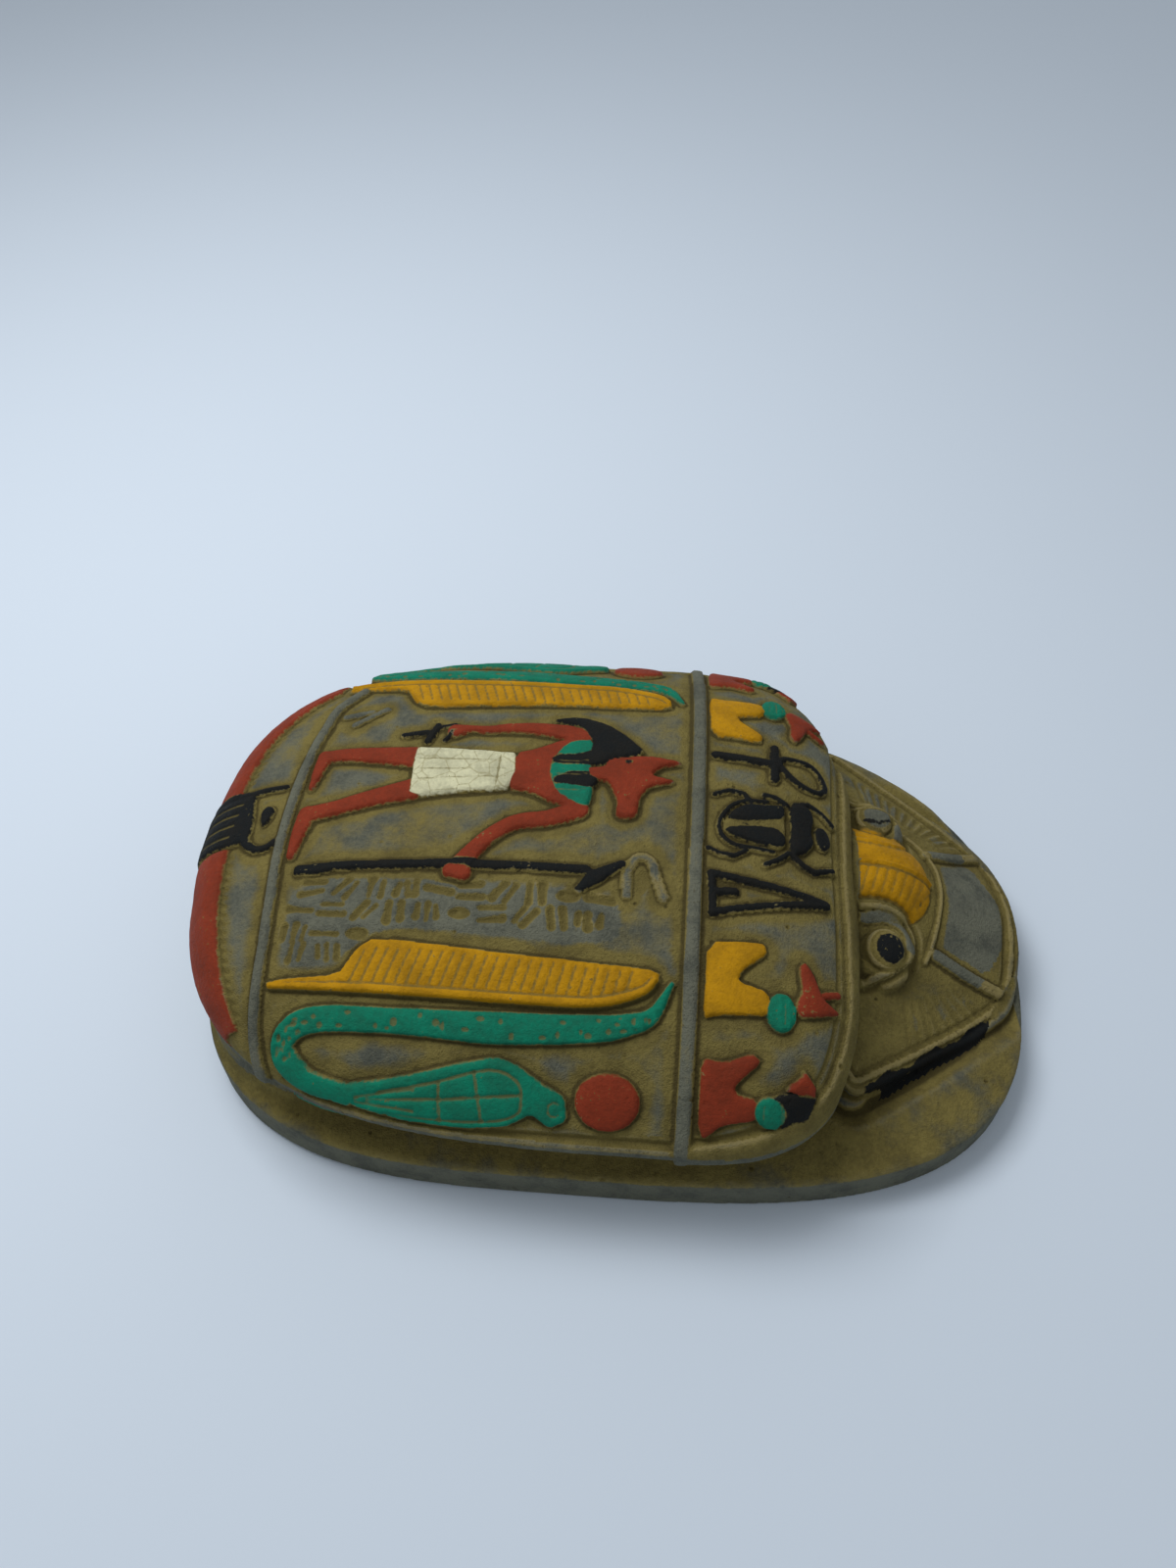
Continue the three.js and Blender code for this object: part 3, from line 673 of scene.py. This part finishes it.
# Two red bands round the rear edge, parted by a black mark
def carveRear(c):
    every = np.nonzero(c.allowed & (c.x < -52))[0]
    x, y = c.x[every], c.y[every]
    out = shellShares(x, y)[1]
    side = np.abs(y)
    inward = (bandInner(y) - out) * rear["scale"]
    middle = np.where(y > 0, rear["markHalf"][1], rear["markHalf"][0]) - side
    ending = np.where(y > 0, -9.0, side - rear["nearEnd"])
    band = (every, np.maximum.reduce([inward, middle, ending, x - rear["from"]]))
    c.figure(band, "red", 0.7, 0.9, 0.15)
    # it stands up from the ground only on top, and the near part of the edge is worn back
    c.rise[every] *= 1 - 0.9 * smooth(out, 0.93, 1.0)
    c.rise[every] -= 0.55 * smooth(out, 0.92, 1.0) * smooth(-y, 8, 16) * smooth(y, -48, -38)
    # ticks along the bands' inner edges
    reach = shellOutline["widest"] - shellOutline["rear"]
    for n in range(rear["ticks"]):
        y = rear["tickFrom"] + n * rear["tickPitch"]
        if rear["tickGap"][0] < y < rear["tickGap"][1]:
            continue
        square = shellOutline["square"][0 if y < 0 else 1]
        left = float(bandInner(y)) ** square - (abs(y) / shellOutline["half"]) ** square
        x = shellOutline["widest"] - reach * max(left, 0) ** (1 / square)
        c.cut(c.stroke([(x + 0.3, y), (x + 1.6, y + 0.5 * np.sign(y))], 0.2, 2), 0.25, 0.7)
    c.figure(c.outline(rear["mark"]), "black", rises["line"])
    for row in range(rear["markLines"]):
        c.cut(c.stroke([(-79, -4.6 + row * 2.4), (-72.6 + row * 0.3, -4.8 + row * 2.5)], 0.16), 0.4, 0.5)
    c.figure(c.stroke(*rear["bar"]), "black", rises["sign"])
    c.limb(rear["crook"], "black", rises["line"])
    c.figure(c.outline(rounded(rear["drop"], 1)), "black", rises["line"])
    for mark in rear["looseMarks"]:
        shape = c.stroke(mark, 0.7)
        c.lift(shape, 0.5)
        c.colour(shape, "grey")


ridges = {
    "front": [(15.2, 55), (15.5, 20), (15.2, -20), (15, -55.4)],
    "frontHalf": 1.25,
    "rear": [(-54.2, 33.9), (-58.2, 27.5), (-59.2, 21.7), (-60.2, 15.9), (-61.2, 5.6), (-61.4, -3.9),
             (-61, -12.7), (-60.2, -20.7), (-59.6, -30), (-59.4, -39.9), (-58.4, -46), (-56.4, -50)],
    "rearHalf": 0.95,
}


def carveRidges(c):
    across, behind = curved(ridges["front"]), curved(ridges["rear"], 48)
    for path, half in ((across, ridges["frontHalf"]), (behind, ridges["rearHalf"])):
        ridge = c.stroke(path, half)
        c.lift(ridge, rises["upper"])
        c.colour(ridge, "grey")


rim = {
    "crest": [(46.4, 36), (44.6, 12), (43.7, -2), (43.6, -20), (43.4, -33), (40.9, -42.6), (38.1, -47.3),
              (33.4, -51.2), (26, -54.4), (16, -55.8)],
    "groove": [(43.6, 36), (41.9, 12), (41.2, -4), (41.1, -20), (40.5, -33), (38.8, -40.8), (36.3, -45.6),
               (31.4, -50.1), (24, -53.2), (16, -54.6)],
}


# A thin raised rim with a groove inside it, along the near side and round the front
def carveRim(c):
    out = shellShares(c.x, c.y)[1]
    level = c.z - block["lipHeight"]
    side = np.nonzero(c.allowed & (out > 0.955) & (c.x > -50) & (c.x < 36))[0]
    c.lift((side, np.abs(level[side]) - 0.9), 0.35, 0.8, 0.1)
    c.cut((side, np.abs(level[side] - 1.5) - 0.3), 0.5, 0.7)
    c.cut((side, np.abs(level[side] + 1.5) - 0.15), 0.3, 0.6)
    crest = curved(rim["crest"], 60)
    c.lift(c.stroke(crest, 1.1), 0.8, 0.9, 0.2)
    c.colour(c.stroke(crest, 1.2), "tan")
    c.cut(c.stroke(curved(rim["groove"], 60), 0.35), 0.45, 0.7)
    worn = np.nonzero((out > 0.97) & (level < 0.4) & (level > -6) & (c.x < 46))[0]
    c.colour((worn, level[worn] - 0.2), "grey")


socketParts = {
    "outline": [(43, 6.2), (51.4, 5.2), (56.4, 6), (58.8, 9), (58.6, 13), (56.6, 17), (52.8, 20.2),
                (48.6, 21.8), (43, 23)],
    "lid": [(46.5, 9), (51.5, 8), (54.6, 8.6), (56.2, 10.6), (56.4, 13.4)],
    "iris": (51.4, 14.6), "irisRadii": (4, 4.4),
    "innerRing": (51.8, 14.7), "innerRadii": (3.1, 3.5),
    "pupil": (52, 14.8), "pupilRadii": (2.6, 3),
    "farLine": [(49.2, 13.4), (52, 12.6), (54.8, 14)],
    "farShift": 1.2,
}


# An eye in its socket; side is 1 for the far one, which the brow half hides
# and whose black has worn to a line
def carveEye(c, side):
    def placed(points):
        return np.asarray(points, float) * (1, side) + (0, socketParts["farShift"] * (side > 0))
    socket = c.outline(placed(rounded(socketParts["outline"], 2)))
    c.cut(c.ring(socket, 0.4), 0.7, 1.0)
    c.colour(socket, "tan")
    c.lift((socket[0], np.abs(socket[1] + 1.3) - 0.55), 0.55, 0.9, 0.2)
    c.figure(c.stroke(placed(curved(socketParts["lid"])), 0.95), "grey", 0.35, 0.8, 0.1)
    iris = c.oval(*placed([socketParts["iris"]])[0], *socketParts["irisRadii"])
    c.colour(iris, "tan")
    c.lift(iris, 0.6, 0.7, 0.2)
    c.cut(c.ring(iris, 0.35), 0.55, 0.8)
    inner = c.oval(*placed([socketParts["innerRing"]])[0], *socketParts["innerRadii"])
    c.cut(c.ring(inner, 0.2), 0.3, 0.5)
    pupil = c.oval(*placed([socketParts["pupil"]])[0], *socketParts["pupilRadii"])
    c.figure(pupil, "black" if side < 0 else "grey", rises["upper"], 0.7, 0.5)
    if side > 0:
        c.colour(c.stroke(placed(socketParts["farLine"]), 0.3), "black")


plate = {
    "fans": ((-1, 3, 11, 0.25), (1, 0, 12, 0.5)),     # side, first groove, grooves in all, depth
    "panel": [(64, -9.6), (76, -13.4), (77, -4.4), (77.4, 5), (75.4, 15.6), (65.4, 11.6), (65.6, 0)],
    "panelRidges": ([(62.1, -11.6), (69.1, -13.9), (77.2, -15.6), (80.4, -16)],
                    [(62.7, 12.1), (69.6, 14.3), (78, 18.4)]),
    "panelGroove": [(78, 8), (78.2, 2), (77.3, -4.4), (76.4, -13.6)],
    "paintFrom": 47, "paintTo": 75,     # the black paint left on the near edge, along x
}


# The head's plate: its rim, the fans of grooves at both sides, the middle panel and the worn paint
def carvePlate(c, plateEdge):
    face = np.nonzero(c.allowed)[0]
    c.colour((face, np.full(len(face), -2.0)), "tan")
    c.lift((face, np.abs(plateEdge[face] + 2.1) - 0.5), 0.4, 0.8, 0.1)
    c.cut((face, np.abs(plateEdge[face] + 3.3) - 0.15), 0.35, 0.6)
    for side, first, count, depth in plate["fans"]:
        for n in range(first, count):
            share = (n + 0.4) / count
            inner = np.array([50.5 + 16.5 * share, side * (25 - 8 * share)])
            outer = np.array([48.4 + 24.6 * share, side * (33.6 - 13.6 * share)])
            if side > 0:
                outer = inner * 0.25 + outer * 0.75
            c.cut(c.stroke([inner, outer], 0.4), depth, 1.4)
            if n % 3 == 1:
                c.colour(c.stroke([inner * 0.7 + outer * 0.3, inner * 0.3 + outer * 0.7], 0.3), "grey")
    c.colour(c.outline(plate["panel"]), "grey")
    for path in plate["panelRidges"]:
        ridge = c.stroke(curved(path), 1.15)
        c.lift(ridge)
        c.colour(ridge, "grey")
    c.cut(c.stroke(curved(plate["panelGroove"]), 0.3), 0.45, 0.8)


def paintPlateEdge(c, plateEdge):
    nearEdge = np.nonzero(c.allowed & (plateEdge > -4) & (c.y < -13) & (c.x > 45.5) & (c.x < 79))[0]
    x = c.x[nearEdge]
    ragged = 0.4 * np.sin(x * 0.7) + 0.2 * np.sin(x * 1.9 + 1)
    ends = np.maximum(x - plate["paintTo"], plate["paintFrom"] - x) * 0.4
    inward = -1.0 - plateEdge[nearEdge] + ragged - 0.02 * (x - 44)
    c.colour((nearEdge, np.maximum(inward, ends + ragged)), "black")
    frontEdge = np.nonzero(c.allowed & (plateEdge > -0.5) & (c.y >= -13))[0]
    c.colour((frontEdge, -0.1 - plateEdge[frontEdge]), "grey")


browParts = {
    "ridge": [(48, 18.6), (54, 17.6), (59, 15.7), (62.2, 12.6), (64.2, 8), (64.2, 1.6), (63, -4.9),
              (61.4, -10.1), (60, -13.6)],
    "seam": [(44, 1.8), (52, 2), (58, 2.2), (62, 2.6)],
    "ribs": 9, "ribFrom": 45.2, "ribPitch": 1.95, "ribReach": 13.4,
}


# The brow is yellow, parted by a seam and ribbed on both halves, with a thin ridge round it
def carveBrow(c):
    ridge = c.stroke(curved(browParts["ridge"], 48), 0.5)
    c.lift(ridge, 0.55, 0.8, 0.1)
    c.colour(ridge, "tan")
    c.cut(c.ring(ridge, 0.15), 0.3, 0.6)
    x, y, z = brow["place"]
    long, wide, tall = brow["radii"]
    at, distance = c.oval(x, y, long - 0.4, wide - 0.3)
    crown = 1 - ((c.x[at] - x) / long) ** 2 - ((c.y[at] - y) / wide) ** 2
    # the far eye rises out of the brow, and what lies above the brow's own dome stays unpainted
    distance = np.maximum(distance, (c.z[at] - z - tall * np.sqrt(np.clip(crown, 0, 1)) - 0.45) * 1.5)
    c.rise[at] *= smooth(distance, -0.9, 0.3)
    c.colour((at, distance), "yellow")
    c.cut(c.ring((at, distance), 0.25), 0.4, 0.8)
    for n in range(browParts["ribs"]):
        along = browParts["ribFrom"] + browParts["ribPitch"] * n
        reach = browParts["ribReach"] * math.sqrt(max(0.04, 1 - ((along - x) / long) ** 2))
        c.cut(c.stroke([(along + 1.4, 0.6), (along - 2.2, y - reach)], 0.3, 2), 0.26, 1.1)
        c.cut(c.stroke([(along, 4.4), (along + 1.2, 0.5 + reach)], 0.15, 2), 0.08, 0.9)
    seam = curved(browParts["seam"])
    c.lift(c.stroke(seam, 0.35), 0.45, 0.6, 0.1)
    c.cut(c.stroke(seam + (0, -0.8), 0.2), 0.3, 0.5)


def carveHead(c, plateEdge):
    carvePlate(c, plateEdge)
    carveEye(c, 1)
    carveBrow(c)
    carveEye(c, -1)
    paintPlateEdge(c, plateEdge)


# Figures stand in a shallow moat, and so does the head on the slab
def carveMoats(c, plateEdge, onShell):
    c.rise -= 0.4 * np.exp(-np.maximum(c.edge, 0) / 1.5) * (c.edge > 0)
    ledge = (c.z < 11.4) & (c.z > 7.5) & ~onShell
    c.rise -= 1.5 * smooth(-plateEdge, -4.5, -1) * smooth(plateEdge, -0.2, 0.6) * ledge


# The slab's ledge keeps its wash, and its side below has worn to bare stone
def paintSlab(c, onShell):
    slab = np.nonzero((c.z < 12.5) & ~onShell & (c.paint["tan"] > 0) & (c.paint["black"] > 0))[0]
    c.colour((slab, np.full(len(slab), -2.0)), "tan")
    c.colour((slab, c.z[slab] - 7.7), "grey")


carving = Carving(places)
onShell = ((carving.z > block["lipHeight"] - 2.8) & (shellShares(carving.x, carving.y)[1] < 1.02)
           & (carving.x < 46.8))
plateEdge = np.full(len(places), 90.0)
at, distance = carving.outline(rounded(plateOutline(), 2))
plateEdge[at] = distance
overPlate = carving.z - plateHeight(carving.x, carving.y)
carving.allowed = onShell
carveRim(carving)
carveRear(carving)
carveWalker(carving)
carveStrip(carving)
for side in (-1, 1):
    carvePair(carving, side)
    carveSeated(carving, side)
carveSigns(carving)
carveRidges(carving)
carving.allowed = ~onShell & (plateEdge < 0.9) & (overPlate > -3.4) & (carving.z > 10.4)
carveHead(carving, plateEdge)
carveMoats(carving, plateEdge, onShell)
paintSlab(carving, onShell)
print("figures carved")


# Keeps one value a vertex on the mesh under a name
def keep(mesh, name, values):
    mesh.attributes.new(name, "FLOAT", "POINT").data.foreach_set("value", values.astype(np.float32))


keep(mesh, "relief", carving.rise)
keep(mesh, "standing", smooth(places[:, 2], 0.3, 2))
keep(mesh, "edge", carving.edge)
keep(mesh, "groove", carving.groove)
for name, values in carving.paint.items():
    keep(mesh, name, values)


# Node trees: sums on wires, and one way of adding any other node
class Wire:
    def __init__(self, tree, socket):
        self.tree = tree
        self.socket = socket

    def sum(self, operation, *values):
        return self.tree.add("ShaderNodeMath", {"operation": operation}, dict(enumerate(values)))

    def __add__(self, other):
        return self.sum("ADD", self, other)

    def __radd__(self, other):
        return self.sum("ADD", other, self)

    def __sub__(self, other):
        return self.sum("SUBTRACT", self, other)

    def __rsub__(self, other):
        return self.sum("SUBTRACT", other, self)

    def __mul__(self, other):
        return self.sum("MULTIPLY", self, other)

    def __rmul__(self, other):
        return self.sum("MULTIPLY", other, self)

    def most(self, other):
        return self.sum("MAXIMUM", self, other)


class Tree:
    def __init__(self, nodes):
        self.nodes = nodes
        nodes.nodes.clear()

    def add(self, kind, settings=None, values=None, output=0):
        node = self.nodes.nodes.new(kind)
        for name, value in (settings or {}).items():
            setattr(node, name, value)
        for name, value in (values or {}).items():
            if isinstance(value, Wire):
                self.nodes.links.new(value.socket, node.inputs[name])
            else:
                node.inputs[name].default_value = value
        return Wire(self, node.outputs[output]) if node.outputs else None

    # 0 below low and 1 above high, turning softly between them; low may be the larger
    def step(self, value, low, high):
        return self.add("ShaderNodeMapRange", {"interpolation_type": "SMOOTHSTEP"},
                        {"Value": value, "From Min": low, "From Max": high})

    def mix(self, share, a, b, blend="MIX"):
        return self.add("ShaderNodeMix", {"data_type": "RGBA", "blend_type": blend, "clamp_factor": True},
                        {0: share, 6: a, 7: b}, 2)

    def noise(self, place, scale, detail=3.0, roughness=0.55, distortion=0.0):
        return self.add("ShaderNodeTexNoise", {"noise_dimensions": "3D"},
                        {"Vector": place, "Scale": scale, "Detail": detail, "Roughness": roughness,
                         "Distortion": distortion})


# Stone: one material for the bare stone, its ochre wash and the enamel colours, with painted shade in the
# hollows and a painted highlight on the raised edges
stone = {
    "grey": (0.152, 0.156, 0.116, 1), "darkGrey": (0.086, 0.091, 0.073, 1),
    # paleOchre also serves as a painted highlight on the raised edges
    "ochre": (0.215, 0.174, 0.054, 1), "paleOchre": (0.290, 0.236, 0.098, 1),
    # darkOchre is also the colour of the painted shade in the hollows
    "darkOchre": (0.044, 0.034, 0.014, 1), "grime": (0.02, 0.015, 0.008, 1),
    "red": (0.250, 0.038, 0.016, 1), "green": (0.006, 0.200, 0.118, 1), "yellow": (0.500, 0.250, 0.006, 1),
    "black": (0.009, 0.011, 0.012, 1), "white": (0.680, 0.665, 0.440, 1),
    "roughness": 0.82,
    "specular": 0.06,
    # scales of the noises, in turns to the millimetre
    "broad": 0.055, "middle": 0.19, "fine": 1.3, "grain": 4.0, "cracks": 0.26,
    "ochreCover": 0.38,      # how much of the ground keeps its wash before hollows and edges count
    "redChips": (0.70, 0.74),
    "otherChips": (0.74, 0.78),
}


def stoneMaterial():
    material = bpy.data.materials.new("painted_stone_finish")
    material.use_nodes = True
    tree = Tree(material.node_tree)
    place = tree.add("ShaderNodeTexCoord", output=3)
    place = tree.add("ShaderNodeVectorMath", {"operation": "SCALE"}, {0: place, "Scale": 1000.0})

    def held(name):
        return tree.add("ShaderNodeAttribute", {"attribute_name": name}, output=2)
    edge, cavity, groove = held("edge"), held("cavity"), held("groove")
    broad = tree.noise(place, stone["broad"], 2, 0.5)
    middle = tree.noise(place, stone["middle"], 3, 0.55)
    fine = tree.noise(place, stone["fine"], 3, 0.6)
    grain = tree.noise(place, stone["grain"], 2, 0.6)

    # the wash lies in the hollows and round the figures, and has worn off the open ground and the ridges
    ragged = (middle - 0.5) * 0.6 + (fine - 0.5) * 0.6
    worn = tree.step(held("grey") + ragged * 1.6, 0.7, -0.7)
    kept = tree.step(held("tan") + ragged, 0.3, -0.3)
    bareStone = tree.mix(tree.step(middle * 0.6 + fine * 0.4, 0.30, 0.60), stone["darkGrey"], stone["grey"])
    shade = tree.step(middle * 0.6 + fine * 0.4, 0.36, 0.66)
    ochre = tree.mix(shade, tree.mix(0.55, stone["darkOchre"], stone["ochre"]), stone["ochre"])
    # raised, rounded edges turn paler ochre: partly worn wash, partly a painted highlight
    ochre = tree.mix(tree.step(cavity, -0.10, -0.55) * 0.8, ochre, stone["paleOchre"])
    wash = (stone["ochreCover"] + cavity * 0.8 + (broad - 0.5) * 1.7 + (middle - 0.5) * 1.2 + (fine - 0.5) * 0.3
            + tree.step(edge, 3.4, 0.8) * 0.62 + kept * 0.45 - worn * 0.85)
    colour = tree.mix(tree.step(wash, 0.05, 0.85), bareStone, ochre)
    # painted shade: the hollows and the moats round the figures are darkened towards dark ochre
    paintedHollowShade = tree.step(cavity + (fine - 0.5) * 0.4, 0.14, 0.75)
    colour = tree.mix(paintedHollowShade * 0.75, colour, stone["darkOchre"])
    crumbs = tree.step(fine, 0.60, 0.70) * tree.step(edge, 5.0, 0.5)
    colour = tree.mix(crumbs * 0.5, colour, stone["darkOchre"])

    # enamel, with ragged edges and chips, and after it the grooves made a darker tan where they are hollow
    cracks = tree.add("ShaderNodeTexVoronoi", {"feature": "DISTANCE_TO_EDGE"},
                      {"Vector": place, "Scale": stone["cracks"]})
    cover = None
    for name in ("red", "green", "yellow", "black", "white"):
        on = tree.step(held(name) + ragged * (1.3 if name == "black" else 0.8), 0.12, -0.16)
        chips = tree.step(fine + (middle - 0.5) * 0.7, *stone["redChips" if name == "red" else "otherChips"])
        tone = tree.mix(tree.step(middle + (fine - 0.5) * 0.6, 0.25, 0.75),
                        tree.mix(0.32, stone[name], stone["grime"]), stone[name])
        if name == "white":
            crazed = tree.step(cracks + (fine - 0.5) * 0.05, 0.05, 0.0)
            tone = tree.mix(crazed * 0.4, tone, stone["ochre"])
        colour = tree.mix(on * (1 - chips * 0.75), colour, tone)
        cover = on if cover is None else cover.most(on)
    # where a groove is hollow its colour is made a darker tan
    grooveDarkening = tree.step(groove + (fine - 0.5) * 0.5, 0.32, -0.10) * tree.step(cavity, -0.1, 0.4)
    colour = tree.mix(grooveDarkening * 0.7, colour, tree.mix(0.65, stone["darkOchre"], stone["ochre"]))

    height = (fine - 0.5) * (0.50 - cover * 0.25) + (grain - 0.5) * (0.35 - cover * 0.2)
    bump = tree.add("ShaderNodeBump", {}, {"Strength": 0.9, "Distance": 0.001, "Height": height})
    roughness = stone["roughness"] - cover * 0.20 - worn * 0.10 + (fine - 0.5) * 0.2
    shader = tree.add("ShaderNodeBsdfPrincipled", {}, {
        "Base Color": colour, "Roughness": roughness, "Normal": bump,
        "Specular IOR Level": stone["specular"]})
    tree.add("ShaderNodeOutputMaterial", {}, {"Surface": shader})
    return material


stoneFinish = stoneMaterial()


# Cut: moves the surface by its relief, and roughens it as worn stone
cut = {"Relief": 1.0, "Wear": 0.30, "Wear Scale": 0.12, "Grain": 0.16, "Grain Scale": 0.55, "Pits": 0.35,
       "Pit Scale": 0.30, "Seed": 4.0}


def cutTree(material):
    group = bpy.data.node_groups.new("cut_relief", "GeometryNodeTree")
    group.interface.new_socket("Geometry", in_out="INPUT", socket_type="NodeSocketGeometry")
    group.interface.new_socket("Geometry", in_out="OUTPUT", socket_type="NodeSocketGeometry")
    for name in cut:
        group.interface.new_socket(name, in_out="INPUT", socket_type="NodeSocketFloat")
    tree = Tree(group)
    given = group.nodes.new("NodeGroupInput")
    size = {name: Wire(tree, given.outputs[name]) for name in ["Geometry", *cut]}

    def held(name):
        return tree.add("GeometryNodeInputNamedAttribute", {"data_type": "FLOAT"}, {"Name": name})
    place = tree.add("GeometryNodeInputPosition")

    def noise(scale, detail):
        return tree.add("ShaderNodeTexNoise", {"noise_dimensions": "4D"},
                        {"Vector": place, "W": size["Seed"], "Scale": scale, "Detail": detail})
    wear = size["Wear"] * noise(size["Wear Scale"], 2.0)
    grain = size["Grain"] * noise(size["Grain Scale"], 3.0)
    cells = tree.add("ShaderNodeTexVoronoi", {"voronoi_dimensions": "4D"},
                     {"Vector": place, "W": size["Seed"], "Scale": size["Pit Scale"]})
    pits = size["Pits"] * tree.step(cells, 0.20, 0.05)
    lost = (wear + grain + pits) * held("standing")
    shift = tree.add("ShaderNodeVectorMath", {"operation": "SCALE"}, {
        0: tree.add("GeometryNodeInputNormal"), "Scale": held("relief") * size["Relief"] - lost})
    moved = tree.add("GeometryNodeSetPosition", {}, {"Geometry": size["Geometry"], "Offset": shift})
    real = tree.add("GeometryNodeRealizeInstances", {}, {"Geometry": moved})
    painted = tree.add("GeometryNodeSetMaterial", {}, {"Geometry": real, "Material": material})
    tree.add("NodeGroupOutput", {}, {"Geometry": painted})
    return group


cutting = piece.modifiers.new("cut", "NODES")
cutting.node_group = cutTree(stoneFinish)
for item in cutting.node_group.interface.items_tree:
    if item.in_out == "INPUT" and item.name in cut:
        cutting[item.identifier] = cut[item.name]
mesh = settled(piece)
print("relief cut:", len(mesh.polygons), "faces")

# How hollow each place is: the way from the surface to its smoothed self
hollows = {"passes": 9, "pull": 0.6, "gain": 3.2}
places = placesOf(mesh)
pairs = edgesOf(mesh)
normals = np.empty(len(places) * 3, np.float32)
mesh.vertex_normals.foreach_get("vector", normals)
soft = places.copy()
for _ in range(hollows["passes"]):
    soft += hollows["pull"] * (neighbourMean(soft, pairs, len(soft)) - soft)
cavity = ((soft - places) * normals.reshape(-1, 3)).sum(1)
keep(mesh, "cavity", np.clip(cavity * hollows["gain"], -1, 1))
for name in ("relief", "standing"):
    mesh.attributes.remove(mesh.attributes[name])

mostTriangles = 195000
thinning = piece.modifiers.new("thin", "DECIMATE")
thinning.ratio = min(1.0, mostTriangles / (2 * len(mesh.polygons)))
mesh = settled(piece)
print("thinned:", len(mesh.polygons), "faces")

# In metres, within the solid's own box, and with the underside flat on the floor
margin, floorReach = 1e-5, 0.12
underside = placesOf(mesh)[:, 2] < floorReach
low, high = (np.array(list(corner)) for corner in cadBox)
places = np.clip(placesOf(mesh) / 1000, low + margin, high - margin)
places[underside, 2] = 0
mesh.vertices.foreach_set("co", places.astype(np.float32).ravel())
mesh.polygons.foreach_set("use_smooth", np.ones(len(mesh.polygons), bool))
mesh.update()
print("in place:", len(mesh.vertices), "points")

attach(piece, "root")
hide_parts("scarab")


# Studio: a pale floor, soft light from above and behind, the camera above the near side
studio = {
    "floorHalf": 1.6,
    "floor": (0.67, 0.755, 0.855, 1),
    "lamp": {"place": (-0.19, 0.11, 0.46), "target": (-0.03, 0, 0), "size": 0.26, "power": 1.50},
    "window": {"place": (0.1, 1.3, 0.55), "target": (0, 0, 0.02), "size": 0.8, "power": 0.85,
               "colour": (0.88, 0.94, 1.0)},
    "room": {"Color": (0.92, 0.96, 1.0, 1), "Strength": 0.38},
}
camera = {
    "place": (0.00746, -0.13238, 0.21056),
    "right": (0.9968, 0.0798, -0.0093), "up": (-0.0559, 0.7713, 0.6340), "ahead": (-0.0577, 0.6314, -0.7733),
    "lens": 27.0,
    "sensor": 36.0,
    "nearest": 0.01,
}


def floorPiece():
    half = studio["floorHalf"]
    mesh = bpy.data.meshes.new("floor")
    corners = [(-half, -half, 0), (half, -half, 0), (half, half, 0), (-half, half, 0)]
    mesh.from_pydata(corners, [], [(0, 1, 2, 3)])
    floor = bpy.data.objects.new("floor", mesh)
    scene.collection.objects.link(floor)
    material = bpy.data.materials.new("paper")
    material.use_nodes = True
    tree = Tree(material.node_tree)
    shader = tree.add("ShaderNodeBsdfPrincipled", {}, {"Base Color": studio["floor"], "Roughness": 0.9})
    tree.add("ShaderNodeOutputMaterial", {}, {"Surface": shader})
    mesh.materials.append(material)


def softLight(name, place, target, size, power, colour=(1, 1, 1)):
    data = bpy.data.lights.new(name, "AREA")
    data.size = size
    data.energy = power
    data.color = colour
    light = bpy.data.objects.new(name, data)
    light.location = place
    ahead = np.array(target) - np.array(place)
    turn = math.atan2(ahead[1], ahead[0])
    tilt = math.acos(-ahead[2] / np.linalg.norm(ahead))
    light.rotation_euler = (tilt, 0, turn - math.pi / 2)
    scene.collection.objects.link(light)


floorPiece()
for name in ("lamp", "window"):
    softLight(name, **studio[name])
scene.world = bpy.data.worlds.new("room")
scene.world.use_nodes = True
room = Tree(scene.world.node_tree)
room.add("ShaderNodeOutputWorld", {}, {"Surface": room.add("ShaderNodeBackground", {}, studio["room"])})

eyeData = bpy.data.cameras.new("camera")
eyeData.sensor_width = camera["sensor"]
eyeData.lens = camera["lens"]
eyeData.clip_start = camera["nearest"]
eyePiece = bpy.data.objects.new("camera", eyeData)
behind = [-value for value in camera["ahead"]]
turned = Matrix((camera["right"], camera["up"], behind)).transposed().to_4x4()
eyePiece.matrix_world = Matrix.Translation(camera["place"]) @ turned
scene.collection.objects.link(eyePiece)
scene.camera = eyePiece
scene.view_settings.view_transform = "Standard"
print("studio set")
